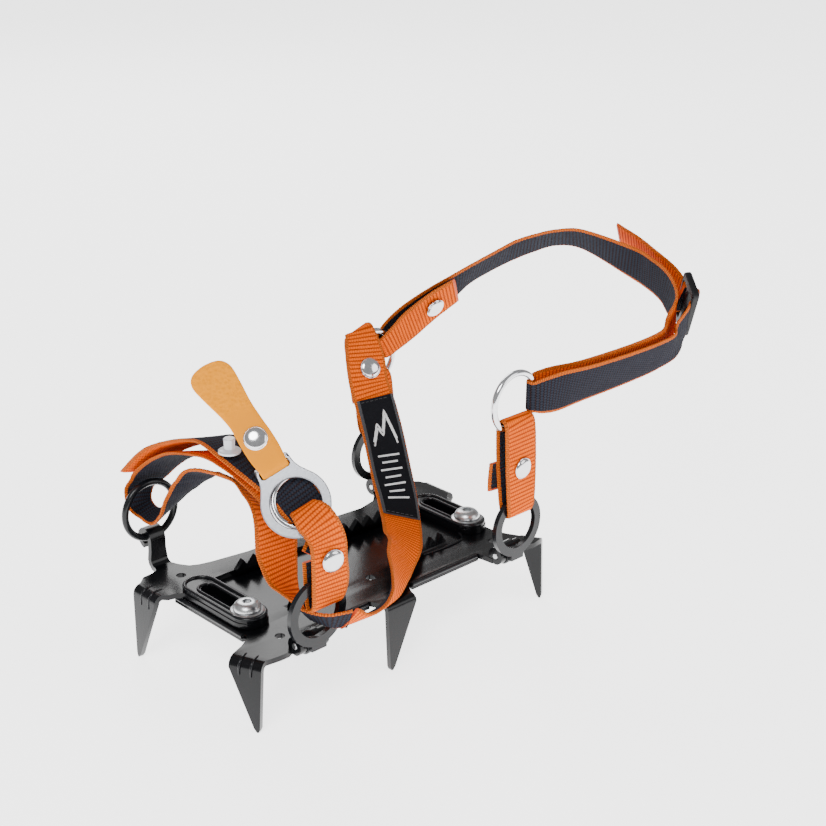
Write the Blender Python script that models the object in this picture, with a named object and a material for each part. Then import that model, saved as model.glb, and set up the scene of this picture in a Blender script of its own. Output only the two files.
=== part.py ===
# Six-point strap-on instep crampon.
# Frame: +X runs from the toe side to the heel side, +Z is up, and the boot
# rests on the top of the far plate at z = 0. All shapes are written in
# millimetres and turned into metres by MM.
import math
import bpy
import bmesh
from mathutils import Vector, Matrix

MM = 0.001

# ---------------------------------------------------------------- dimensions
SHEET = 2.5            # plate steel thickness
NEAR_TOP = -2.8        # top of the near plate, one sheet and a gap lower
POINT_TIP_Z = -35.5    # plane of the six tips
ARM_X = 67.0           # the two slotted arms lie at +/- this
ARM_HALF = 8.5         # half width of an arm
ARM_TIP_Y = -13.0      # centre of an arm's round end
ARM_TOP = 1.5          # raised top of an arm
SLOT_R = 3.3           # half width of an adjusting slot
BOLT_Y = -12.0         # adjusting bolts, at the widest setting
BOLT_R = 3.0           # M6
HEAD_R = 6.2           # button head
HINGE_R = 4.2          # outer radius of a ring's rolled barrel
PIN_R = 1.5            # hinge pin
BORE_R = 1.8           # bore of barrels and lugs
RING_OD = 30.0         # all attachment rings
EYE = 22.0             # eye of a flat plate ring
PLATE_RING_T = 2.4     # thickness of a flat plate ring
WIRE = 3.2             # wire of the black round ring
CHROME_WIRE = 3.0      # wire of the chrome rings
WEB = 20.0             # webbing width
WEB_T = 1.6            # webbing thickness

NEAR_HINGES = (-61.0, 59.5)    # X of the two near plate rings
NEAR_HINGE_Y, NEAR_HINGE_Z = -45.5, -1.0
FAR_HINGE = (65.5, 46.0, 1.8)  # rear far plate ring
RING_OFFSET = 5.7              # plate ring stands this far outside its hinge
POST_X, POST_Y = -66.5, 53.0   # standing post of the front far wire ring
POST_EYE_Z = 11.9

for ob in list(bpy.data.objects):
    bpy.data.objects.remove(ob)


# ------------------------------------------------------------------ helpers
def material(name, color, rough, metal):
    m = bpy.data.materials.new(name)
    m.use_nodes = True
    b = m.node_tree.nodes["Principled BSDF"]
    b.inputs["Base Color"].default_value = (*color, 1.0)
    b.inputs["Roughness"].default_value = rough
    b.inputs["Metallic"].default_value = metal
    m.diffuse_color = (*color, 1.0)
    return m


def add(name, bm, mat, origin=(0, 0, 0), smooth=False, helper=False):
    """Turn a bmesh in millimetres into an object with its origin at origin."""
    o = Vector(origin)
    for v in bm.verts:
        v.co = (v.co - o) * MM
    bmesh.ops.remove_doubles(bm, verts=bm.verts, dist=1e-6)
    me = bpy.data.meshes.new(name)
    bm.to_mesh(me)
    bm.free()
    ob = bpy.data.objects.new(name, me)
    ob.location = o * MM
    bpy.context.scene.collection.objects.link(ob)
    if mat:
        me.materials.append(material(name + "_finish", *mat))
    if smooth:
        me.shade_smooth()
        me.set_sharp_from_angle(angle=math.radians(35))
    if helper:
        ob.hide_render = True
        ob.display_type = "WIRE"
    return ob


def boolean(ob, other, op="UNION"):
    m = ob.modifiers.new(op.title(), "BOOLEAN")
    m.operation = op
    m.solver = "EXACT"
    m.object = other


def arc(cx, cy, r, a0, a1, n):
    return [(cx + r * math.cos(math.radians(a0 + (a1 - a0) * i / n)),
             cy + r * math.sin(math.radians(a0 + (a1 - a0) * i / n)))
            for i in range(n + 1)]


def circle(cx, cy, r, n=16, start=0.0):
    return [(cx + r * math.cos(2 * math.pi * i / n + start),
             cy + r * math.sin(2 * math.pi * i / n + start)) for i in range(n)]


def loop_edges(bm, pts, z):
    vs = [bm.verts.new((x, y, z)) for x, y in pts]
    es = [bm.edges.new((vs[i], vs[(i + 1) % len(vs)])) for i in range(len(vs))]
    return vs, es


def flat_with_holes(bm, outline, holes, z):
    """One flat layer inside the outline, open where the holes are."""
    vs, es = loop_edges(bm, outline, z)
    hole_vs = []
    for h in holes:
        hv, he = loop_edges(bm, h, z)
        hole_vs.append(hv)
        es += he
    bmesh.ops.triangle_fill(bm, use_beauty=True, use_dissolve=False, edges=es,
                            normal=(0, 0, 1))
    return vs, hole_vs


def slab(outline, holes, z0, z1):
    """Flat closed solid between two heights."""
    bm = bmesh.new()
    flat_with_holes(bm, outline, holes, z0)
    r = bmesh.ops.extrude_face_region(bm, geom=bm.faces[:])
    for v in [g for g in r["geom"] if isinstance(g, bmesh.types.BMVert)]:
        v.co.z = z1
    bmesh.ops.recalc_face_normals(bm, faces=bm.faces)
    return bm


def band_row(bm, prev, pts):
    row = [bm.verts.new(p) for p in pts]
    for i in range(len(row) - 1):
        bm.faces.new((prev[i], prev[i + 1], row[i + 1], row[i]))
    return row


def find(vs, x, y):
    return min(vs, key=lambda v: (v.co.x - x) ** 2 + (v.co.y - y) ** 2)


def bend(bm, root, out, radius, sign, tail):
    """Bend sheet down (sign -1) or up (+1) from a root row of vertices and
    finish it with the rows of points in tail."""
    out = Vector((*out, 0)).normalized()
    prev = root
    for k in (1, 2, 3):
        a = math.radians(30 * k)
        off = out * radius * math.sin(a) + Vector((0, 0, sign * radius * (1 - math.cos(a))))
        prev = band_row(bm, prev, [v.co + off for v in root])
    for pts in tail:
        prev = band_row(bm, prev, pts)
    return prev


def sheet_object(name, bm, mat, inward_up=True):
    """Give a folded layer of sheet its thickness, measured down from the top."""
    bmesh.ops.recalc_face_normals(bm, faces=bm.faces)
    flat = max(bm.faces, key=lambda f: f.calc_area() * abs(f.normal.z))
    if flat.normal.z < 0:
        bmesh.ops.reverse_faces(bm, faces=bm.faces)
    ob = add(name, bm, mat)
    s = ob.modifiers.new("Thickness", "SOLIDIFY")
    s.thickness = SHEET * MM
    s.offset = -1.0
    s.use_even_offset = True
    return ob


def tube(axis, centre, length, r_out, r_in, n=16):
    """Straight tube or, with r_in 0, a rod, along X, Y or Z."""
    if r_in:
        bm = slab(circle(0, 0, r_out, n), [circle(0, 0, r_in, n)], -length / 2, length / 2)
    else:
        bm = slab(circle(0, 0, r_out, n), [], -length / 2, length / 2)
    rot = {"X": Matrix.Rotation(math.pi / 2, 4, "Y"), "Y": Matrix.Rotation(math.pi / 2, 4, "X"),
           "Z": Matrix.Identity(4)}[axis]
    bmesh.ops.transform(bm, verts=bm.verts, matrix=Matrix.Translation(centre) @ rot)
    return bm


def torus(centre, normal, major, wire, nu=24, nv=8):
    bm = bmesh.new()
    n = Vector(normal).normalized()
    u = n.orthogonal().normalized()
    w = n.cross(u)
    rings = []
    for i in range(nu):
        a = 2 * math.pi * i / nu
        d = u * math.cos(a) + w * math.sin(a)
        rings.append([bm.verts.new(Vector(centre) + d * (major + wire / 2 * math.cos(b))
                                   + n * (wire / 2 * math.sin(b)))
                      for b in [2 * math.pi * k / nv for k in range(nv)]])
    for i in range(nu):
        a, b = rings[i], rings[(i + 1) % nu]
        for k in range(nv):
            bm.faces.new((a[k], b[k], b[(k + 1) % nv], a[(k + 1) % nv]))
    bmesh.ops.recalc_face_normals(bm, faces=bm.faces)
    return bm


def spline(points, n):
    """Catmull-Rom curve through the points, n steps to a span."""
    P = [Vector(p) for p in points]
    P = [P[0] * 2 - P[1]] + P + [P[-1] * 2 - P[-2]]
    out = []
    for i in range(1, len(P) - 2):
        for k in range(n):
            t = k / n
            out.append(0.5 * ((2 * P[i]) + (P[i + 1] - P[i - 1]) * t
                              + (2 * P[i - 1] - 5 * P[i] + 4 * P[i + 1] - P[i + 2]) * t * t
                              + (3 * P[i] - P[i - 1] - 3 * P[i + 1] + P[i + 2]) * t ** 3))
    out.append(P[-2])
    return out


def ribbon(stations, n=2, thick=WEB_T):
    """Closed strap. A station is (x, y, z), (width direction), width."""
    mids = spline([s[0] for s in stations], n)
    wids = spline([Vector(s[1]).normalized() * s[2] for s in stations], n)
    bm = bmesh.new()
    rows = []
    for i, m in enumerate(mids):
        t = mids[min(i + 1, len(mids) - 1)] - mids[max(i - 1, 0)]
        w = wids[i] - t.normalized() * wids[i].dot(t.normalized())
        w = w.normalized() * wids[i].length
        nrm = t.cross(w).normalized() * (thick / 2)
        rows.append([bm.verts.new(m + w / 2 * a + nrm * b)
                     for a, b in ((-1, -1), (1, -1), (1, 1), (-1, 1))])
    for a, b in zip(rows, rows[1:]):
        for k in range(4):
            bm.faces.new((a[k], b[k], b[(k + 1) % 4], a[(k + 1) % 4]))
    bm.faces.new(rows[0])
    bm.faces.new(rows[-1][::-1])
    bmesh.ops.recalc_face_normals(bm, faces=bm.faces)
    return bm


def placed(bm, centre, x_axis, z_axis):
    """Put a bmesh built at the origin at centre with the given X and Z axes."""
    z = Vector(z_axis).normalized()
    x = Vector(x_axis)
    x = (x - z * x.dot(z)).normalized()
    m = Matrix((x, z.cross(x), z)).transposed().to_4x4()
    m.translation = Vector(centre)
    bmesh.ops.transform(bm, verts=bm.verts, matrix=m)
    return bm


def rivet(name, centre, normal, length, radius=5.0):
    """Tubular rivet: two caps joined by a shank, along its normal."""
    prof = [(0, length / 2 + 1.2), (radius * 0.6, length / 2 + 1.0), (radius, length / 2 + 0.2),
            (radius, length / 2), (1.6, length / 2), (1.6, -length / 2),
            (radius, -length / 2), (radius, -length / 2 - 0.2),
            (radius * 0.6, -length / 2 - 1.0), (0, -length / 2 - 1.2)]
    bm = bmesh.new()
    vs = [bm.verts.new((r, 0, z)) for r, z in prof]
    es = [bm.edges.new((a, b)) for a, b in zip(vs, vs[1:])]
    bmesh.ops.spin(bm, geom=vs + es, cent=(0, 0, 0), axis=(0, 0, 1), angle=2 * math.pi,
                   steps=12, use_merge=True)
    bmesh.ops.remove_doubles(bm, verts=bm.verts, dist=0.001)
    bmesh.ops.recalc_face_normals(bm, faces=bm.faces)
    n = Vector(normal)
    placed(bm, centre, n.orthogonal(), n)
    return add(name, bm, CHROME, smooth=True)


BLACK_STEEL = ((0.012, 0.013, 0.016), 0.32, 0.6)
ZINC = ((0.62, 0.63, 0.65), 0.25, 1.0)
CHROME = ((0.75, 0.76, 0.78), 0.12, 1.0)
ORANGE = ((0.80, 0.19, 0.03), 0.85, 0.0)
DARK_WEB = ((0.07, 0.07, 0.08), 0.85, 0.0)
YELLOW = ((0.92, 0.36, 0.01), 0.45, 0.0)
PATCH = ((0.012, 0.013, 0.018), 0.7, 0.0)
BLACK_PLASTIC = ((0.02, 0.02, 0.022), 0.4, 0.0)
GREY = ((0.55, 0.56, 0.58), 0.35, 0.5)

# ---------------------------------------------------------------- near plate
# The panel the boot stands on, the bar with three points and two ring lugs.
near_outline = (
    [(-89.0, -30.0), (-83.0, -44.0)]                       # root of point B
    + [(-79.5, -44.4), (-75.0, -45.0), (-71.0, -45.0)]
    + [(-69.0, -44.0), (-65.5, -44.0), (-65.5, -40.0), (-56.5, -40.0), (-56.5, -44.0), (-53.0, -44.0)]   # front lugs
    + [(-51.5, -41.0), (-49.0, -37.0), (-45.0, -34.5)]
    + [(-18.5, -34.5), (-16.5, -38.0), (-15.0, -42.0)]
    + [(2.0, -42.0)]                                       # root of point C
    + [(4.0, -38.0), (7.5, -34.5)]
    + [(50.0, -34.5), (51.0, -38.0), (51.5, -44.0), (55.0, -44.0), (55.0, -40.0), (64.0, -40.0),
       (64.0, -44.0), (67.5, -44.0)]   # rear lugs
    + [(72.0, -44.8), (78.0, -46.0), (84.0, -45.0)]
    + [(79.0, -36.0)]                                      # root of point D
    + [(76.0, -30.0), (74.5, -26.0), (74.0, -22.0), (74.0, 27.0)]
    + [(-75.0, 27.0), (-75.0, -21.0)]                      # front edge of the panel
    + [(-77.5, -24.5), (-82.5, -27.5)]
)
TOOTH_PITCH = 6.0
window_rear = [(29.0, -19.5), (29.0, -13.0), (47.0, -13.0), (47.0, -19.5), (41.0, -19.5), (35.0, -19.5)]
window_front = [(-48.0, -19.5), (-48.0, -13.0), (-30.0, -13.0), (-30.0, -19.5), (-36.0, -19.5), (-42.0, -19.5)]
bm = bmesh.new()
vs, hs = flat_with_holes(
    bm, near_outline,
    [circle(-65.5, -32.0, 2.3, 10), circle(65.3, -31.0, 2.3, 10), circle(-2.0, -19.0, 2.5, 10),
     circle(-ARM_X, BOLT_Y, 3.3, 12), circle(ARM_X, BOLT_Y, 3.3, 12), window_rear, window_front],
    NEAR_TOP)


def point(bm, p0, p1, out, tip, radius=4.0, tip_w=2.0):
    """Fold a point down from the root edge p0 to p1 and taper it to its tip."""
    a, b = find(bm.verts, *p0), find(bm.verts, *p1)
    o = Vector((*out, 0)).normalized()
    along = (b.co - a.co).normalized()
    base_a = a.co + o * radius
    t = Vector((*tip, 0)) - Vector((base_a.x, base_a.y, 0))
    s = t.dot(along)
    z = POINT_TIP_Z
    ends = [base_a + along * (s - tip_w / 2), base_a + along * (s + tip_w / 2)]
    top = [a.co + o * radius, b.co + o * radius]
    rows = []
    z_top = a.co.z - radius
    for k, q in ((1, 0.42), (2, 0.94)):
        zz = z_top + (z - z_top) * q
        rows.append([Vector(((1 - q) * top[i].x + q * ends[i].x,
                             (1 - q) * top[i].y + q * ends[i].y, zz)) for i in (0, 1)])
    rows.append([Vector((ends[i].x * 0.7 + ends[1 - i].x * 0.3, ends[i].y * 0.7 + ends[1 - i].y * 0.3, z))
                 for i in (0, 1)])
    bend(bm, [a, b], out, radius, -1, rows)


def flange(bm, p0, p1, out, depth, radius=2.5):
    a, b = find(bm.verts, *p0), find(bm.verts, *p1)
    o = Vector((*out, 0)).normalized()
    bend(bm, [a, b], out, radius, -1, [[v.co + o * radius - Vector((0, 0, depth)) for v in (a, b)]])


def teeth(bm, points, out, height, lean=1.5):
    """Upright teeth along a run of vertices."""
    o = Vector((*out, 0)).normalized()
    root = [find(bm.verts, *p) for p in points]
    row = bend(bm, root, out, 1.5, 1, [])
    for a, b in zip(row, row[1:]):
        tip = bm.verts.new((a.co + b.co) / 2 + Vector((0, 0, height)) + o * lean * 0.2)
        bm.faces.new((a, b, tip))


point(bm, (-89.0, -30.0), (-83.0, -44.0), (-14.0, -6.0), (-87.0, -43.0))
point(bm, (-15.0, -42.0), (2.0, -42.0), (0.0, -1.0), (-12.5, -45.0), radius=3.0)
point(bm, (84.0, -45.0), (79.0, -36.0), (9.0, 5.0), (87.5, -43.0))
flange(bm, (-45.0, -34.5), (-18.5, -34.5), (0, -1), 3.0, 2.0)
flange(bm, (7.5, -34.5), (50.0, -34.5), (0, -1), 3.0, 2.0)
flange(bm, (-75.0, 27.0), (-75.0, -21.0), (-1, 0), 3.2, 2.0)
teeth(bm, [(29.0, -19.5), (35.0, -19.5), (41.0, -19.5), (47.0, -19.5)], (0, 1), 4.5)
teeth(bm, [(-48.0, -19.5), (-42.0, -19.5), (-36.0, -19.5), (-30.0, -19.5)], (0, 1), 4.5)
near_plate = sheet_object("near_plate", bm, BLACK_STEEL)
for i, hx in enumerate(NEAR_HINGES):
    for s in (-1, 1):
        k = tube("X", (hx + s * 6.1, NEAR_HINGE_Y, NEAR_HINGE_Z), 3.4, HINGE_R, BORE_R)
        boolean(near_plate, add("lug_%d_%d" % (i, s), k, None, helper=True))

# ----------------------------------------------------------------- far plate
# The bar with the three far points and the two slotted arms that slide on
# the near plate to set the width.
far_outline = (
    [(-84.0, 43.0), (-84.0, 27.0)]                         # root of point A
    + [(-82.0, 25.0), (-78.5, 24.0), (-ARM_X - ARM_HALF, 21.5)]
    + arc(-ARM_X, ARM_TIP_Y, ARM_HALF, 180, 360, 8)
    + [(-ARM_X + ARM_HALF, 21.5), (-56.5, 24.5)]
    + [(-47.0, 24.5), (-40.0, 24.3), (-33.0, 24.0), (-26.0, 23.6), (-19.0, 23.2)]
    + [(-8.0, 22.0), (4.0, 21.0), (11.0, 20.5)]
    + [(18.0, 20.0), (25.0, 19.5), (32.0, 19.2), (39.0, 19.0)]
    + [(54.0, 18.5), (ARM_X - ARM_HALF, 16.0)]
    + arc(ARM_X, ARM_TIP_Y, ARM_HALF, 180, 360, 8)
    + [(ARM_X + ARM_HALF, 9.0), (78.5, 13.0), (84.0, 18.0)]
    + [(84.0, 35.0)]                                       # root of point E
    + [(83.0, 38.0), (80.0, 40.5), (76.5, 42.0)]
    + [(73.5, 44.5), (70.0, 44.5), (70.0, 40.6), (61.0, 40.6), (61.0, 44.5), (57.5, 44.5)]   # rear far lugs
    + [(54.0, 40.0), (50.0, 36.5), (40.0, 34.2)]
    + [(3.0, 37.5), (2.0, 41.0), (-15.0, 41.0), (-16.5, 37.5)]   # root of point F
    + [(-20.0, 34.5), (-30.0, 35.2), (-48.0, 38.2), (-54.0, 39.8)]
    + [(-58.0, 42.0), (-60.5, 46.0), (-62.0, 50.0)]
    + [(-71.0, 50.0)]                                      # root of the ring post
    + [(-72.0, 48.0), (-75.0, 47.0), (-80.0, 46.5)]
)
far_slots = [arc(sx * ARM_X, 16.0, SLOT_R + 0.4, 0, 180, 4) + arc(sx * ARM_X, BOLT_Y, SLOT_R + 0.4, 180, 360, 4)
             for sx in (-1, 1)]
far_slots[1] = arc(ARM_X, 13.5, SLOT_R + 0.4, 0, 180, 4) + arc(ARM_X, BOLT_Y, SLOT_R + 0.4, 180, 360, 4)
bm = bmesh.new()
flat_with_holes(bm, far_outline, [circle(-66.5, 36.5, 2.3, 10), circle(65.0, 33.0, 2.3, 10)] + far_slots, 0.0)
point(bm, (-84.0, 43.0), (-84.0, 27.0), (-1, 0), (-88.0, 42.0))
point(bm, (84.0, 18.0), (84.0, 35.0), (1, 0), (88.0, 34.0))
point(bm, (2.0, 41.0), (-15.0, 41.0), (0, 1), (-12.0, 44.0), radius=3.0)
teeth(bm, [(-47.0, 24.5), (-40.0, 24.3), (-33.0, 24.0), (-26.0, 23.6), (-19.0, 23.2)], (0, -1), 4.5)
teeth(bm, [(11.0, 20.5), (18.0, 20.0), (25.0, 19.5), (32.0, 19.2), (39.0, 19.0)], (0, -1), 4.5)
# the post stands up behind the bar and its top rolls over the ring's wire
a, b = find(bm.verts, -62.0, 50.0), find(bm.verts, -71.0, 50.0)
post = [[Vector((x, POST_Y, 7.0)) for x in (-62.5, -70.5)],
        [Vector((x, POST_Y, POST_EYE_Z)) for x in (-62.5, -70.5)]]
EYE_R = 2.6 + SHEET                                        # outer radius of the rolled eye
for ang in (150, 120, 90, 60, 30, 0, -30, -60, -80):
    t = math.radians(ang)
    post.append([Vector((x, POST_Y + EYE_R + EYE_R * math.cos(t), POST_EYE_Z + EYE_R * math.sin(t)))
                 for x in (-62.5, -70.5)])
bend(bm, [a, b], (0, 1), 3.0, 1, post)
far_plate = sheet_object("far_plate", bm, BLACK_STEEL)
for sx, far_end, slot_end in ((-1, 21.0, 16.0), (1, 15.0, 13.5)):
    r = ARM_HALF - 0.4
    body = slab(arc(sx * ARM_X, far_end, r, 0, 180, 8) + arc(sx * ARM_X, ARM_TIP_Y, r, 180, 360, 8),
                [arc(sx * ARM_X, slot_end, SLOT_R, 0, 180, 4) + arc(sx * ARM_X, BOLT_Y, SLOT_R, 180, 360, 4)],
                -2.3, ARM_TOP)
    boolean(far_plate, add("arm_%d" % sx, body, None, helper=True))
for s in (-1, 1):
    k = tube("X", (FAR_HINGE[0] + s * 6.1, FAR_HINGE[1], FAR_HINGE[2]), 3.4, HINGE_R, BORE_R)
    boolean(far_plate, add("far_lug_%d" % s, k, None, helper=True))

# ------------------------------------------------- adjusting bolts and nuts
for tag, sx in (("front", -1), ("rear", 1)):
    z = ARM_TOP + 0.3
    add(tag + "_washer", placed(slab(circle(0, 0, 7.4, 20), [circle(0, 0, 3.3, 12)], z, z + 1.0),
                                (sx * ARM_X, BOLT_Y, 0), (1, 0, 0), (0, 0, 1)), ZINC)
    z += 1.3
    bm = bmesh.new()
    prof = [(0, z + 1.6), (1.9, z + 1.6), (1.9, z + 3.3), (3.2, z + 3.3), (5.0, z + 2.7),
            (HEAD_R, z + 1.2), (HEAD_R, z), (BOLT_R, z), (BOLT_R, -12.6), (BOLT_R - 0.6, -13.2), (0, -13.2)]
    vs = [bm.verts.new((r, 0, h)) for r, h in prof]
    es = [bm.edges.new((p, q)) for p, q in zip(vs, vs[1:])]
    bmesh.ops.spin(bm, geom=vs + es, cent=(0, 0, 0), axis=(0, 0, 1), angle=2 * math.pi, steps=16, use_merge=True)
    bmesh.ops.remove_doubles(bm, verts=bm.verts, dist=0.001)
    bmesh.ops.recalc_face_normals(bm, faces=bm.faces)
    bmesh.ops.translate(bm, verts=bm.verts, vec=(sx * ARM_X, BOLT_Y, 0))
    add(tag + "_adjust_bolt", bm, ZINC, origin=(sx * ARM_X, BOLT_Y, 0), smooth=True)
    nz = NEAR_TOP - SHEET - 0.3
    add(tag + "_lock_nut", placed(slab(circle(0, 0, 5.77, 6), [circle(0, 0, 3.3, 12)], nz - 5.0, nz),
                                  (sx * ARM_X, BOLT_Y, 0), (1, 0, 0), (0, 0, 1)), ZINC)


# ------------------------------------------------------------- plate rings
def plate_ring(name, hx, hy, hz, side):
    """Flat ring standing on a rolled barrel. side is -1 on the near side."""
    cz = 15.6                                              # eye centre above the hinge
    out = [(-4.0, -1.5)] + [(-4.0, 1.2)]
    out += arc(0, cz, RING_OD / 2, 252, -72, 22)
    out += [(4.0, 1.2), (4.0, -1.5)]
    bm = slab(out, [circle(0, cz, EYE / 2, 20)], -PLATE_RING_T / 2, PLATE_RING_T / 2)
    m = Matrix(((1, 0, 0), (0, 0, -1), (0, 1, 0))).to_4x4()
    bmesh.ops.transform(bm, verts=bm.verts, matrix=m)
    bmesh.ops.translate(bm, verts=bm.verts, vec=(hx, hy + side * RING_OFFSET, hz))
    bmesh.ops.recalc_face_normals(bm, faces=bm.faces)
    ob = add(name, bm, BLACK_STEEL, origin=(hx, hy, hz))
    k = add(name + "_barrel", tube("X", (hx, hy, hz), 8.2, HINGE_R + 0.8, BORE_R), None, helper=True)
    boolean(ob, k)
    add(name + "_pin", tube("X", (hx, hy, hz), 16.0, PIN_R, 0, 12), ZINC)


plate_ring("front_near_ring", NEAR_HINGES[0], NEAR_HINGE_Y, NEAR_HINGE_Z, -1)
plate_ring("rear_near_ring", NEAR_HINGES[1], NEAR_HINGE_Y, NEAR_HINGE_Z, -1)
plate_ring("rear_far_ring", *FAR_HINGE, 1)
# the wire ring runs through the rolled eye of the post
WIRE_C = (POST_X, POST_Y + EYE_R, POST_EYE_Z + (RING_OD - WIRE) / 2 - 0.2)
add("front_far_ring", torus(WIRE_C, (0, 1, 0), (RING_OD - WIRE) / 2, WIRE), BLACK_STEEL,
    origin=(POST_X, POST_Y + EYE_R, POST_EYE_Z), smooth=True)

# ------------------------------------------------------------ chrome rings
NEAR_ANKLE = (57.0, -50.0, 75.6)
FAR_ANKLE = (64.0, 52.0, 68.0)
INSTEP = (-60.0, -37.0, 58.0)
INSTEP_N = (-0.45, -0.72, 0.53)
add("near_ankle_ring", torus(NEAR_ANKLE, (0, 1, 0), 13.5, CHROME_WIRE), CHROME, origin=NEAR_ANKLE, smooth=True)
add("far_ankle_ring", torus(FAR_ANKLE, (0, 1, 0), 13.5, CHROME_WIRE), CHROME, origin=FAR_ANKLE, smooth=True)

# ------------------------------------------------------------------ buckle
# A flat steel ring plate with a slotted neck. U runs up the neck, W across.
B_O = Vector((-60.0, -38.0, 59.0))
B_N = Vector((-0.55, -0.62, 0.56)).normalized()
B_U = Vector((-0.08, 0.70, 0.70))
B_U = (B_U - B_N * B_U.dot(B_N)).normalized()
B_W = B_U.cross(B_N)


def on_buckle(w, u, n=0.0):
    return B_O + B_W * w + B_U * u + B_N * n


def buckle_place(bm):
    m = Matrix((B_W, B_U, B_N)).transposed().to_4x4()
    if m.to_3x3().determinant() < 0:
        bmesh.ops.reverse_faces(bm, faces=bm.faces)
    m.translation = B_O
    bmesh.ops.transform(bm, verts=bm.verts, matrix=m)
    bmesh.ops.recalc_face_normals(bm, faces=bm.faces)
    return bm


B_SLOT = 16.5
neck = arc(0, 0, 14.5, 143, 397, 24) + [(8.6, 14.2), (7.9, 20.5), (-7.9, 20.5), (-8.6, 14.2)]
slot = [(-6.6, B_SLOT - 1.6), (-6.6, B_SLOT + 1.6), (6.6, B_SLOT + 1.6), (6.6, B_SLOT - 1.6)]
add("buckle_plate", buckle_place(slab(neck, [circle(0, 0, 10.6, 20), slot], -1.0, 1.0)), CHROME,
    origin=on_buckle(0, B_SLOT))
add("instep_ring", torus(on_buckle(2.0, 0.5, -3.2), B_N, 11.0, CHROME_WIRE), CHROME,
    origin=on_buckle(2.0, 0.5, -3.2), smooth=True)

# the soft plastic tab folds through the slot and is riveted to itself
bm = bmesh.new()
rows = []
tab_rows = [(21.5, 7.2), (24.0, 7.2), (31.0, 6.9), (40.0, 6.6), (50.0, 7.6), (58.0, 8.8),
            (62.5, 9.0), (66.0, 7.2), (67.8, 4.0)]


def tab_lift(u):
    return 1.0 + (u - 21.5) * 0.03


fold = [(20.9, -4.4), (18.0, -3.2), (16.5, -2.6), (15.9, 0.0), (16.6, 1.9), (18.2, 2.35), (20.9, 2.55)]
for u, n in fold:
    rows.append((6.1, u, n))
for u, h in tab_rows[1:]:
    rows.append((h, u, 2.6 + tab_lift(u) * 0.2))
ring_rows = []
for i, (h, u, n) in enumerate(rows):
    a, b = rows[max(i - 1, 0)], rows[min(i + 1, len(rows) - 1)]
    du, dn = b[1] - a[1], b[2] - a[2]
    q = math.hypot(du, dn)
    cx = -2.2 * max(0.0, (u - 40.0) / 28.0)             # the paddle end leans to one side
    nu, nn = -dn / q * 0.7, du / q * 0.7
    ring_rows.append([bm.verts.new((cx - h, u - nu, n - nn)), bm.verts.new((cx + h, u - nu, n - nn)),
                      bm.verts.new((cx + h, u + nu, n + nn)), bm.verts.new((cx - h, u + nu, n + nn))])
for a, b in zip(ring_rows, ring_rows[1:]):
    for k in range(4):
        bm.faces.new((a[k], b[k], b[(k + 1) % 4], a[(k + 1) % 4]))
bm.faces.new(ring_rows[0])
bm.faces.new(ring_rows[-1][::-1])
bmesh.ops.recalc_face_normals(bm, faces=bm.faces)
TAB_AXIS = on_buckle(0, B_SLOT)
add("pull_tab", buckle_place(bm), YELLOW, origin=TAB_AXIS)


def cap(name, centre, normal, radius=5.0, height=1.3):
    """Domed rivet head standing on a surface."""
    prof = [(0, height), (radius * 0.45, height * 0.93), (radius * 0.8, height * 0.62), (radius, 0.25), (radius, 0), (0, 0)]
    bm = bmesh.new()
    vs = [bm.verts.new((r, 0, z)) for r, z in prof]
    es = [bm.edges.new((a, b)) for a, b in zip(vs, vs[1:])]
    bmesh.ops.spin(bm, geom=vs + es, cent=(0, 0, 0), axis=(0, 0, 1), angle=2 * math.pi, steps=14, use_merge=True)
    bmesh.ops.remove_doubles(bm, verts=bm.verts, dist=0.001)
    bmesh.ops.recalc_face_normals(bm, faces=bm.faces)
    n = Vector(normal).normalized()
    placed(bm, centre, n.orthogonal(), n)
    return add(name, bm, CHROME, smooth=True)


cap("tab_rivet", on_buckle(0, 31.0, 3.85), B_N)
# press stud that holds the free tail down under the tab
STUD = Vector((-70.5, -8.6, 75.2))
stud = slab(circle(0, 0, 2.4, 12), [], 0.5, 6.6)
bmesh.ops.translate(stud, verts=stud.verts, vec=STUD)
stud_ob = add("tail_stud", stud, GREY)
fl = slab(circle(0, 0, 4.8, 16), [], 0.0, 1.5)
bmesh.ops.translate(fl, verts=fl.verts, vec=STUD)
boolean(stud_ob, add("stud_flange", fl, None, helper=True))

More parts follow.
